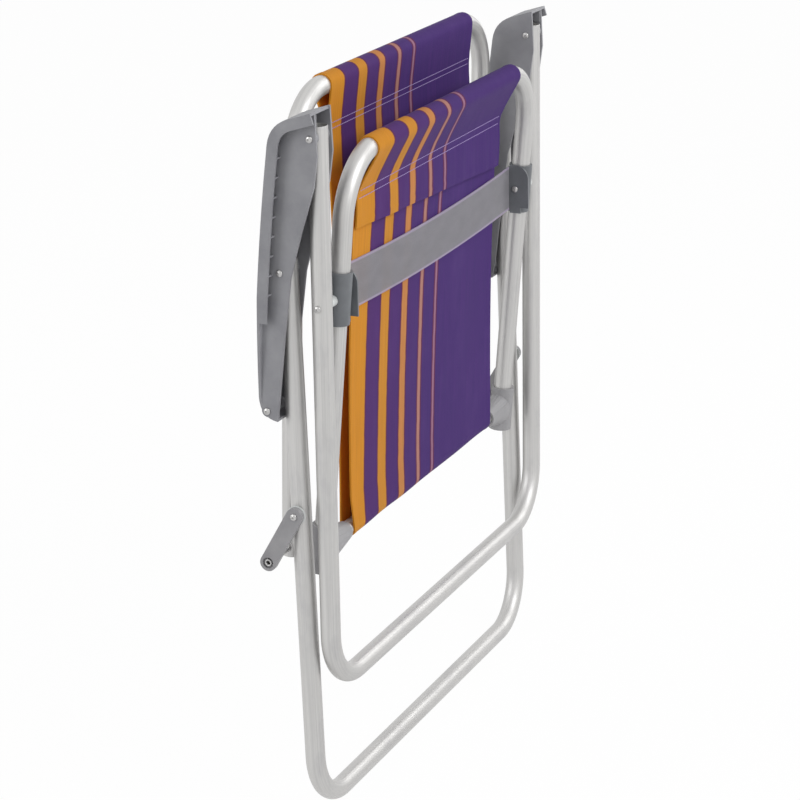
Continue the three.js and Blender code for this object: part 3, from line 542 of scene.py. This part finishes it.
def make_split_rivet(name, side):
    """The rivet between armrest and back frame: one half rides with each of them."""
    inner, outer = span_of("arm_back_rivet_right")
    seat = outer - HEAD_HEIGHT
    profile = [(inner, 0.0), (inner, SHANK_RADIUS), (seat, SHANK_RADIUS), *head(seat, 1)]
    turned(f"turned_arm_back_rivet_{name}", BACK_PIVOT, profile, side,
           RIVET, f"arm_back_rivet_{name}", "armrests")
    inner, outer = span_of("back_spacer_rivet_right")
    seat = inner + HEAD_HEIGHT
    profile = [*head(seat, -1)[::-1], (seat, SHANK_RADIUS), (outer, SHANK_RADIUS), (outer, 0.0)]
    turned(f"turned_back_spacer_rivet_{name}", BACK_PIVOT, profile, side,
           RIVET, f"back_spacer_rivet_{name}", "back")


def make_split_pin(name, side):
    """The hollow hinge pin with its rim, and its end, which rides with the link."""
    inner, outer = span_of("hinge_pin_right")
    edge = RING_EDGE
    profile = [
        (inner, PIN_BORE + edge), (inner, PIN_RIM - edge), (inner + edge, PIN_RIM),
        (inner + PIN_RIM_DEPTH, PIN_RIM), (inner + PIN_STEP_DEPTH, PIN_RADIUS), (outer - edge, PIN_RADIUS),
        (outer, PIN_RADIUS - edge), (outer, PIN_BORE + edge), (outer - edge, PIN_BORE),
        (inner + edge, PIN_BORE),
    ]
    turned(f"turned_hinge_pin_{name}", HINGE, profile, side,
           RIVET, f"hinge_pin_{name}", "seat", hollow=True)
    inner, outer = span_of("link_pin_end_right")
    turned(f"turned_link_pin_end_{name}", HINGE, ring_profile(inner, outer, PIN_RADIUS, PIN_BORE), side,
           RIVET, f"link_pin_end_{name}", "links", hollow=True)


def make_cross_tube():
    """The thin straight tube between the corner brackets."""
    inner, outer = span_of("cross_tube")
    profile = ring_profile(inner, outer, CROSS_TUBE_RADIUS, CROSS_TUBE_RADIUS - TUBE_WALL)
    turned("round_cross_tube", CROSS_TUBE, profile, RIGHT, TUBE, "cross_tube", "seat", hollow=True)


def make_turned_pieces():
    """Rivets, rings and pins of both sides, and the cross tube."""
    for name, side in SIDES.items():
        make_rivets(name, side)
        make_rings(name, side)
        make_split_rivet(name, side)
        make_split_pin(name, side)
    make_cross_tube()


def make_tubes():
    """The four bent frames."""
    bent_tube("round_front_leg_tube", LEG_X, LEG_BEND, FRONT_LEG_LENGTH + FRONT_LEG_TIP,
              FRONT_BAR, ARM_PIVOT, "front_leg_frame", "front_legs")
    bent_tube("round_rear_leg_tube", LEG_X, LEG_BEND, REAR_LEG_LENGTH + REAR_LEG_TIP,
              REAR_BAR, LEG_PIVOT, "rear_leg_frame", "rear_legs")
    reach = np.linalg.norm(SEAT_BAR - CROSS_TUBE) + SEAT_TUBE_REACH
    bent_tube("round_seat_tube", SEAT_X, SEAT_BEND, reach, SEAT_BAR, CROSS_TUBE, "seat_frame", "seat")
    bent_tube("round_back_tube", SEAT_X, SEAT_BEND, BACK_LENGTH + BACK_TUBE_TIP,
              BACK_BAR, HINGE, "back_frame", "back")


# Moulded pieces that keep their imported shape


WELD_REACH = 1e-5
ROUND_SEGMENTS = 2
ROUND_ANGLE = math.radians(32)  # sharper edges than this are rounded
EVEN_WEIGHT = 90
MOULDED = [
    ("armrest", ARM_PLASTIC, 0.0007), ("link", JOINT_PLASTIC, 0.0008),
    ("bracket", JOINT_PLASTIC, 0.0007), ("strap_clip", CLIP_PLASTIC, 0.0006),
]


def dress(node, material, width):
    """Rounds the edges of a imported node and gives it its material; its mesh stays as it is."""
    piece = frame["nodes"][node]
    piece.data.materials.clear()
    piece.data.materials.append(material)
    weld = piece.modifiers.new("weld", "WELD")
    weld.merge_threshold = WELD_REACH
    bevel = piece.modifiers.new("round", "BEVEL")
    bevel.width = width
    bevel.segments = ROUND_SEGMENTS
    bevel.limit_method = "ANGLE"
    bevel.angle_limit = ROUND_ANGLE
    bevel.use_clamp_overlap = True
    even = piece.modifiers.new("even", "WEIGHTED_NORMAL")
    even.weight = EVEN_WEIGHT
    piece.data.polygons.foreach_set("use_smooth", [True] * len(piece.data.polygons))


def make_moulded_pieces():
    """Armrests, links, brackets and clips; MOULDED gives the radius of their edges."""
    for name in SIDES:
        for stem, material, width in MOULDED:
            dress(f"{stem}_{name}", material, width)


# Cloth

CLOTH = 0.0011
CLOTH_PLAY = 0.0006  # between the cloth and the tube in its pocket
HEM_WIDTH = 0.010
HEM_EXTRA = 0.0009  # thickness that a hem adds
HEM_EASE = 0.0025

# Seams and flaps, measured down from a bar: the upper row of stitches, the gap to the lower row,
# the flap's free edge, which stands a little off the panel and slants on the seat
SEAT_SEAM_DROP = 0.049
SEAT_ROWS_GAP = 0.0095
BACK_SEAM_INSET = 0.0065
BACK_SEAM_DROP = 0.0415
BACK_ROWS_GAP = 0.0065
FLAP_DROP = 0.098
FLAP_FLARE = 0.0026
FLAP_BELLY = 0.0012
FLAP_SLANT = 0.010
FLAP_SLANT_SHIFT = 0.3

# Bow of the panels off the straight line. A rise under 1 puts the deepest place nearer the bar
SEAT_BOW = 0.0062
SEAT_BOW_RISE = 0.8
BACK_BOW = 0.0034

# Half width of the cloth and place of its middle: at the seat bar, above the fold, in it, behind it,
# at the back bar
SLING_HALF = (0.2025, 0.2035, 0.1975, 0.198, 0.195)
SLING_MIDDLE = (-0.0025, -0.0045, 0.0, 0.0015, 0.006)
FOLD_REACH = 0.055

# Shift of the pattern: on the flap, at its seam, before, at, below and well below the seat bar,
# above the fold, in it, at the back bar
PATTERN_SHIFT = (0.008, 0.006, 0.0, 0.0, 0.006, 0.010, -0.006, -0.012, -0.004)
SHIFT_PLACES = (-0.015, 0.01, 0.06, 0.11)  # of the middle four, along the cloth from the top of the bar
SHIFT_EASE_ROWS = 5

# The cloth drops with the bends of a bar: fully near the bar, then less and less along the cloth
DROOP_HOLD = 1.3
DROOP_FADE = 0.08

# Puckers at the seams and ripples of the flaps and panels: number of waves, shortest, longest
SEED = 7
PUCKER_WAVES = (7, 0.014, 0.05)
RIPPLE_WAVES = (5, 0.09, 0.3)
PUCKER_REACH = 0.016
PUCKER_LIFT = 0.0007
FLAP_LIFT = 0.0016
PANEL_LIFT = 0.0010
PANEL_START = 0.12
PANEL_EASE = 0.1

SLING_STEP = 0.0035
SLING_COLUMNS = 96
FLAP_STEPS = 12
POCKET_STEPS = 22
PANEL_STEPS = 60
FOLD_STEPS = 18


def arc(centre, radius, start, end, steps):
    """Points on a circle from one angle to another."""
    angles = np.linspace(start, end, steps + 1)
    return [centre + radius * np.array([math.cos(a), math.sin(a)]) for a in angles]


def bowed(a, b, bow, steps, rise=1.0):
    """Points from a to b that hang off the straight line by a bow, to the left of the way."""
    way = (b - a) / np.linalg.norm(b - a)
    left = np.array([-way[1], way[0]])
    points = []
    for share in np.linspace(0, 1, steps + 1):
        depth = 4 * bow * share ** rise * (1 - share ** rise)
        points.append(a + (b - a) * share + left * depth)
    return points


def point_at(panel, z):
    """The point at a height on a run of points."""
    heights = np.array([point[1] for point in panel])
    depths = np.array([point[0] for point in panel])
    order = np.argsort(heights)
    return np.array([np.interp(z, heights[order], depths[order]), z])


def tangent_from(point, centre, radius, side):
    """Angle round the centre at which a straight run from the point touches the circle."""
    reach = point - centre
    distance = np.linalg.norm(reach)
    return math.atan2(reach[1], reach[0]) + side * math.acos(radius / distance)


def smoothed(points, rounds=2):
    """Corners of a run of points, rounded off."""
    path = np.array(points)
    for _ in range(rounds):
        inner = 0.25 * path[:-2] + 0.5 * path[1:-1] + 0.25 * path[2:]
        path = np.vstack([path[:1], inner, path[-1:]])
    return path


def resampled(points, step):
    """Points an even step apart along a run of points, and how far along it they lie."""
    path = np.array(points)
    lengths = np.concatenate([[0], np.cumsum(np.linalg.norm(np.diff(path, axis=0), axis=1))])
    places = np.linspace(0, lengths[-1], int(round(lengths[-1] / step)) + 1)
    return np.column_stack([np.interp(places, lengths, path[:, k]) for k in range(2)]), places


def pocket_run(panel, bar, radius, seam_drop, side, end):
    """From the flap's free edge to its seam and round the bar to the panel. side is where the flap lies."""
    layer = CLOTH + CLOTH_PLAY
    seam = point_at(panel, bar[1] - seam_drop) + np.array([side * layer, 0])
    edge = point_at(panel, bar[1] - FLAP_DROP) + np.array([side * (layer + FLAP_FLARE), 0])
    touch = tangent_from(seam, bar, radius, side)
    start = touch if side > 0 else touch % (2 * math.pi)
    return [*bowed(edge, seam, -side * FLAP_BELLY, FLAP_STEPS), *arc(bar, radius, start, end, POCKET_STEPS)]


def sling_path():
    """Side view of the whole sling, from the seat's flap under the cross tube to the back's flap."""
    pocket = TUBE_RADIUS + CLOTH_PLAY + CLOTH / 2
    fold = CROSS_TUBE_RADIUS + CLOTH_PLAY + CLOTH / 2
    seat_top, seat_foot = SEAT_BAR + np.array([pocket, 0]), CROSS_TUBE - np.array([fold, 0])
    seat_panel = bowed(seat_top, seat_foot, SEAT_BOW, PANEL_STEPS, SEAT_BOW_RISE)
    back_seam = BACK_BAR + np.array([BACK_SEAM_INSET - pocket, -BACK_SEAM_DROP])
    back_panel = bowed(CROSS_TUBE + np.array([fold, 0]), back_seam, BACK_BOW, PANEL_STEPS)
    seat_pocket = pocket_run(seat_panel, SEAT_BAR, pocket, SEAT_SEAM_DROP, -1, 0.0)
    front_touch = tangent_from(back_seam, BACK_BAR, pocket, -1) % (2 * math.pi)
    back_pocket = pocket_run(back_panel, BACK_BAR, pocket, BACK_SEAM_DROP, 1, front_touch)
    under = arc(CROSS_TUBE, fold, math.pi, 2 * math.pi, FOLD_STEPS)
    return [*seat_pocket, *seat_panel[1:], *under[1:], *back_panel[1:], *back_pocket[::-1][1:]]


def waves(random, columns, count, low, high):
    """A seeded sum of sines over the columns, with wavelengths between low and high metres."""
    total = np.zeros_like(columns)
    for _ in range(count):
        length = random.uniform(low, high)
        size = random.uniform(0.4, 1.0)
        total += size * np.sin(2 * math.pi * columns / length + random.uniform(0, 2 * math.pi))
    return total / count


def sheet_mesh(name, middle, normals, thickness, coordinates, material):
    """A closed sheet round a grid of middle points. All arrays are rows by columns."""
    rows, columns = middle.shape[:2]
    front = middle + normals * thickness[..., None] / 2
    back = middle - normals * thickness[..., None] / 2
    points = np.concatenate([front.reshape(-1, 3), back.reshape(-1, 3)])
    index = np.arange(rows * columns).reshape(rows, columns)
    other = index + rows * columns
    faces = []
    for r in range(rows - 1):
        for c in range(columns - 1):
            faces.append((index[r, c], index[r, c + 1], index[r + 1, c + 1], index[r + 1, c]))
            faces.append((other[r, c], other[r + 1, c], other[r + 1, c + 1], other[r, c + 1]))
    border = [*index[0, :], *index[1:, -1], *index[-1, -2::-1], *index[-2:0:-1, 0]]
    for a, b in zip(border, border[1:] + border[:1]):
        faces.append((a, a + rows * columns, b + rows * columns, b))
    both = np.concatenate([coordinates.reshape(-1, 3)] * 2)
    return make_object(name, points, faces, material, {"cloth": both}, CLOTH_SHARP_ANGLE)


def between_marks(travelled, marks, values):
    """Values of the cloth's width or middle, spread along it."""
    seat_top, fold, back_top = marks
    places = [seat_top, fold - FOLD_REACH, fold, fold + FOLD_REACH, back_top]
    return np.interp(travelled, places, values)


def sling_marks(path, travelled):
    """How far along the cloth the tops of the seat bar, the fold and the back bar lie."""
    low = int(np.argmin(path[:, 1]))
    seat_top = int(np.argmax(path[:low, 1]))
    back_top = low + int(np.argmax(path[low:, 1]))
    return travelled[[seat_top, low, back_top]]


def pattern_shift(travelled, marks):
    """Sideways shift of the stripes along the cloth, which is sewn a little askew."""
    seat_top, fold, back_top = marks
    near_bar = [seat_top + place for place in SHIFT_PLACES]
    places = [0, FLAP_DROP - SEAT_SEAM_DROP, *near_bar, fold - FOLD_REACH, fold, back_top]
    steps = np.interp(travelled, places, PATTERN_SHIFT)
    width = 2 * SHIFT_EASE_ROWS + 1
    return np.convolve(np.pad(steps, SHIFT_EASE_ROWS, mode="edge"), np.ones(width) / width, mode="valid")


def bar_droop(x, travelled, marks):
    """How far the cloth hangs down with the bend of a bar, past the bar's straight part."""
    past = np.maximum(np.abs(x) - (SEAT_X - SEAT_BEND), 0)
    droop = SEAT_BEND - np.sqrt(SEAT_BEND ** 2 - past ** 2)
    near = sum(np.clip(DROOP_HOLD - np.abs(travelled - mark) / DROOP_FADE, 0, 1)
               for mark in (marks[0], marks[2]))
    return droop * near[:, None]


def seams_of(travelled):
    """How far along the cloth the rows of stitches nearest the bars lie, on the flaps."""
    return FLAP_DROP - SEAT_SEAM_DROP, travelled[-1] - (FLAP_DROP - BACK_SEAM_DROP)


def sling_lift(travelled, columns):
    """How far the cloth stands off its plain form, with puckers at the seams and ripples elsewhere."""
    random = np.random.default_rng(SEED)
    pucker = waves(random, columns, *PUCKER_WAVES)
    ripple = waves(random, columns, *RIPPLE_WAVES)
    seat_seam, back_seam = seams_of(travelled)
    near_seam = sum(np.exp(-np.abs(travelled - seam) / PUCKER_REACH) for seam in (seat_seam, back_seam))
    past_seat_seam = np.clip((travelled - seat_seam - PANEL_START) / PANEL_EASE, 0, 1)
    past_back_seam = np.clip((back_seam - PANEL_START - travelled) / PANEL_EASE, 0, 1)
    seat_flap = np.clip(1 - travelled / seat_seam, 0, 1)
    back_flap = np.clip((travelled - back_seam) / (travelled[-1] - back_seam), 0, 1)
    lift = PUCKER_LIFT * np.outer(near_seam, pucker)
    lift += FLAP_LIFT * np.outer(seat_flap + back_flap, ripple + 0.5 * pucker)
    lift += PANEL_LIFT * np.outer(past_seat_seam * past_back_seam, ripple)
    return lift


def hem_share(travelled, half, shares):
    """1 on the hems along the cloth's sides and ends, 0 inside them."""
    from_side = half[:, None] * (1 - np.abs(shares))[None, :]
    from_end = np.minimum(travelled, travelled[-1] - travelled)[:, None]
    return np.maximum(*(np.clip((HEM_WIDTH - gap) / HEM_EASE, 0, 1) for gap in (from_side, from_end)))


def make_sling():
    """The one striped cloth of seat and back, sewn round both bars and folded under the cross tube."""
    path, travelled = resampled(smoothed(sling_path()), SLING_STEP)
    marks = sling_marks(path, travelled)
    ways = np.gradient(path, axis=0)
    ways /= np.linalg.norm(ways, axis=1)[:, None]
    left = np.column_stack([-ways[:, 1], ways[:, 0]])
    shares = np.linspace(-1, 1, SLING_COLUMNS + 1)
    half = between_marks(travelled, marks, SLING_HALF)
    lift = sling_lift(travelled, shares * SLING_HALF[0])
    middle = np.zeros((len(path), len(shares), 3))
    middle[..., 0] = np.outer(half, shares) + between_marks(travelled, marks, SLING_MIDDLE)[:, None]
    normals = np.zeros_like(middle)
    for k in range(2):
        normals[..., k + 1] = left[:, k][:, None]
        middle[..., k + 1] = path[:, k][:, None] + left[:, k][:, None] * lift
    middle[..., 2] -= bar_droop(middle[..., 0], travelled, marks)
    slant = np.clip(1 - travelled / seams_of(travelled)[0], 0, 1) * FLAP_SLANT
    middle[..., 2] -= np.outer(slant, shares + FLAP_SLANT_SHIFT)
    thickness = CLOTH + HEM_EXTRA * hem_share(travelled, half, shares)
    coordinates = np.zeros_like(middle)
    coordinates[..., 0] = shares[None, :] * CLOTH_WIDTH / 2 - pattern_shift(travelled, marks)[:, None]
    coordinates[..., 1] = travelled[:, None]
    made = sheet_mesh("striped_sling", middle, normals, thickness, coordinates, SLING)
    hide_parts("seat_sling", "back_sling")
    return made, path, travelled, left, marks


# Stitches. The rings of points on one: how far along it and how wide, as shares
STITCH_RINGS = [(0.0, 0.0), (0.08, 0.7), (0.25, 1.0), (0.75, 1.0), (0.92, 0.7), (1.0, 0.0)]
STITCH_LENGTH = 0.0031
STITCH_GAP = 0.0011
STITCH_RADIUS = 0.00046
STITCH_SIDES = 6
STITCH_RISE = 1.1
STITCH_DIP = 1.6
STITCH_LIFT = 0.0001
STITCH_INSET = 0.004


def stitch_row(points_of, half_width):
    """Capsules in a row across the cloth. points_of gives the place and the outward way at an x."""
    points, faces = [], []
    pitch = STITCH_LENGTH + STITCH_GAP
    for number in range(int(2 * half_width / pitch)):
        start = -half_width + (number + 0.5) * pitch - STITCH_LENGTH / 2
        numbers = []
        for share, size in STITCH_RINGS:
            place, out = points_of(start + share * STITCH_LENGTH)
            rise = STITCH_RADIUS * (STITCH_RISE - STITCH_DIP * (2 * share - 1) ** 2)
            count = STITCH_SIDES if size > 0 else 1
            numbers.append(list(range(len(points), len(points) + count)))
            along_cloth = np.array([0.0, -out[2], out[1]])
            for step in range(count):
                angle = 2 * math.pi * step / STITCH_SIDES
                offset = STITCH_RADIUS * size * (math.cos(angle) * out + math.sin(angle) * along_cloth)
                points.append(place + out * rise + offset)
        for a, b in zip(numbers, numbers[1:]):
            faces += ring_faces(a, b)
    return points, faces


def make_stitching(name, rows, body):
    """Rows of stitches: each row is (side point on the cloth's face, outward way, half width, middle)."""
    points, faces = [], []
    for place, out, half_width, centre in rows:
        way = np.array([0.0, out[0], out[1]])

        def points_of(x, place=place, way=way, centre=centre):
            return np.array([x + centre, place[0], place[1]]), way

        more, quads = stitch_row(points_of, half_width)
        faces += [[index + len(points) for index in face] for face in quads]
        points += more
    made = make_object(name, points, faces, THREAD_LOOK)
    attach(made, body)
    return made


sling, SLING_PATH, SLING_TRAVEL, SLING_LEFT, SLING_MARKS = make_sling()


def row_at(travel):
    """A row of stitches across the sling's face, so far along the cloth."""
    place, out = (np.array([np.interp(travel, SLING_TRAVEL, values[:, k]) for k in range(2)])
                  for values in (SLING_PATH, SLING_LEFT))
    half, centre = (float(between_marks(travel, SLING_MARKS, values))
                    for values in (SLING_HALF, SLING_MIDDLE))
    return place + out * (CLOTH / 2 + STITCH_LIFT), out, half - STITCH_INSET, centre


def travel_at(z, start, end):
    """How far along the cloth a height lies, on the panel between two marks."""
    on = (SLING_TRAVEL >= start) & (SLING_TRAVEL <= end)
    order = np.argsort(SLING_PATH[on, 1])
    return float(np.interp(z, SLING_PATH[on, 1][order], SLING_TRAVEL[on][order]))


def make_seams():
    """Two rows of stitches under each bar, on the flap and again on the panel's other face."""
    seat_top, fold, back_top = SLING_MARKS
    seat_seam, back_seam = seams_of(SLING_TRAVEL)
    rows = {"seat": [], "back": []}
    for drop in (0.0, SEAT_ROWS_GAP):
        panel = travel_at(SEAT_BAR[1] - SEAT_SEAM_DROP - drop, seat_top, fold)
        rows["seat"] += [row_at(seat_seam - drop), row_at(panel)]
    for drop in (0.0, BACK_ROWS_GAP):
        panel = travel_at(BACK_BAR[1] - BACK_SEAM_DROP - drop, fold, back_top)
        rows["back"] += [row_at(back_seam + drop), row_at(panel)]
    return [make_stitching(f"{body}_seam_stitches", rows[body], body) for body in rows]


seams = make_seams()
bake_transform(sling)


# Strap between the clips

STRAP_HALF = 0.2446
STRAP_RAISE = 0.001
STRAP_SAG = 0.007
STRAP_BELLY = 0.0012
STRAP_THICKNESS = 0.001
STRAP_SELVAGE = 0.004
STRAP_SELVAGE_EASE = 0.001
STRAP_SELVAGE_EXTRA = 0.0004
STRAP_COLUMNS = 121
STRAP_ROWS = 17


def make_strap():
    """The grey strap, which sags a little between the clips and bellies forward."""
    low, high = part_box("seat_strap")
    depth = (low.y + high.y) / 2
    shares = np.linspace(-1, 1, STRAP_COLUMNS)
    middle = np.zeros((STRAP_ROWS, STRAP_COLUMNS, 3))
    coordinates = np.zeros_like(middle)
    top = SEAT_PIVOT[1] + STRAP_WIDTH / 2 + STRAP_RAISE
    for r in range(STRAP_ROWS):
        share = r / (STRAP_ROWS - 1)
        drop = share * STRAP_WIDTH
        middle[r, :, 0] = shares * STRAP_HALF
        middle[r, :, 1] = depth - STRAP_BELLY * (1 - shares ** 4) * math.sin(math.pi * share)
        middle[r, :, 2] = top - drop - STRAP_SAG * (1 - shares ** 2)
        coordinates[r, :, 0] = shares * STRAP_HALF
        coordinates[r, :, 1] = drop
    normals = np.zeros_like(middle)
    normals[..., 1] = -1
    edge = np.minimum(coordinates[..., 1], STRAP_WIDTH - coordinates[..., 1])
    selvage = np.clip((STRAP_SELVAGE - edge) / STRAP_SELVAGE_EASE, 0, 1)
    thickness = STRAP_THICKNESS + STRAP_SELVAGE_EXTRA * selvage
    made = sheet_mesh("net_strap", middle, normals, thickness, coordinates, STRAP)
    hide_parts("seat_strap")
    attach(made, "seat")


make_strap()
make_tubes()
make_turned_pieces()
make_moulded_pieces()


# Stage

LAMP_TARGET = (0, 0, 0.42)
LAMPS = [  # name, place, size, watts
    ("key", (-0.6, -2.6, 2.4), (1.6, 1.6), 50),
    ("side", (-2.2, 1.9, 1.6), (1.5, 1.8), 26),
    ("rim", (1.9, -1.2, 1.8), (1.2, 1.6), 14),
]
WORLD_LEVEL = 0.42  # the world's light on the object; it shows as white
FLOOR_SIZE = 12.0
FLOOR_HEIGHT = -0.0006
FLOOR_GLOW = 0.97  # share of white on the floor where it is seen; the rest keeps the shadow
CLIP_END = 50


def aim(place, target):
    """The turn that points a lamp from a place at a target."""
    return (Vector(target) - Vector(place)).to_track_quat("-Z", "Y").to_euler()


def make_lamp(name, place, size, power):
    """A soft rectangular lamp aimed at the chair."""
    light = bpy.data.lights.new(name, "AREA")
    light.shape = "RECTANGLE"
    light.size, light.size_y = size
    light.energy = power
    lamp = bpy.data.objects.new(name, light)
    lamp.location = place
    lamp.rotation_euler = aim(place, LAMP_TARGET)
    bpy.context.scene.collection.objects.link(lamp)


def make_floor():
    """A pale floor that camera, glossy and transmission rays see as white, but for the shadow."""
    bpy.ops.mesh.primitive_plane_add(size=FLOOR_SIZE, location=(0, 0, FLOOR_HEIGHT))
    floor = bpy.context.object
    floor.name = "pale_floor"
    shader = Shader("pale_floor", Roughness=0.9)
    tone = shader.mix(shader.noise(shader.place(), 3.0), colour(246, 246, 246), colour(250, 250, 250))
    shader.plug(shader.surface, {"Base Color": tone})
    glow = shader.add("Emission", {"Color": (1.0, 1.0, 1.0, 1.0), "Strength": 1.0})
    path = shader.add("LightPath", {})
    seen = shader.math("MAXIMUM", path.outputs["Is Camera Ray"], path.outputs["Is Glossy Ray"])
    seen = shader.math("MAXIMUM", seen, path.outputs["Is Transmission Ray"])
    floor.data.materials.append(shader.cover(shader.math("MULTIPLY", seen, FLOOR_GLOW), glow))


def make_world():
    """A white backdrop that lights the object at a plain level."""
    world = bpy.data.worlds.new("studio")
    bpy.context.scene.world = world
    world.use_nodes = True
    tree = world.node_tree
    back = next(node for node in tree.nodes if node.type == "BACKGROUND")
    back.inputs["Color"].default_value = (1, 1, 1, 1)
    path = tree.nodes.new("ShaderNodeLightPath")
    seen = path.outputs["Is Camera Ray"]
    for kind in ("Is Glossy Ray", "Is Transmission Ray"):
        either = tree.nodes.new("ShaderNodeMath")
        either.operation = "MAXIMUM"
        tree.links.new(seen, either.inputs[0])
        tree.links.new(path.outputs[kind], either.inputs[1])
        seen = either.outputs[0]
    strength = tree.nodes.new("ShaderNodeMapRange")
    tree.links.new(seen, strength.inputs[0])
    strength.inputs[3].default_value = WORLD_LEVEL
    strength.inputs[4].default_value = 1.0
    tree.links.new(strength.outputs[0], back.inputs["Strength"])


def make_camera():
    """The camera at the photo's viewing angle."""
    data = bpy.data.cameras.new("photo_camera")
    data.sensor_width = SENSOR_WIDTH
    data.lens = SENSOR_WIDTH * FOCAL_PIXELS / PHOTO_WIDTH
    data.clip_end = CLIP_END
    camera = bpy.data.objects.new("photo_camera", data)
    turn = Matrix([
        [CAMERA_RIGHT[k], -CAMERA_DOWN[k], -CAMERA_FORWARD[k]] for k in range(3)
    ])
    camera.matrix_world = Matrix.Translation(CAMERA_PLACE) @ turn.to_4x4()
    bpy.context.scene.collection.objects.link(camera)
    bpy.context.scene.camera = camera


make_floor()
make_world()
for lamp in LAMPS:
    make_lamp(*lamp)
make_camera()
bpy.context.scene.view_settings.view_transform = "Standard"

bpy.context.view_layer.update()
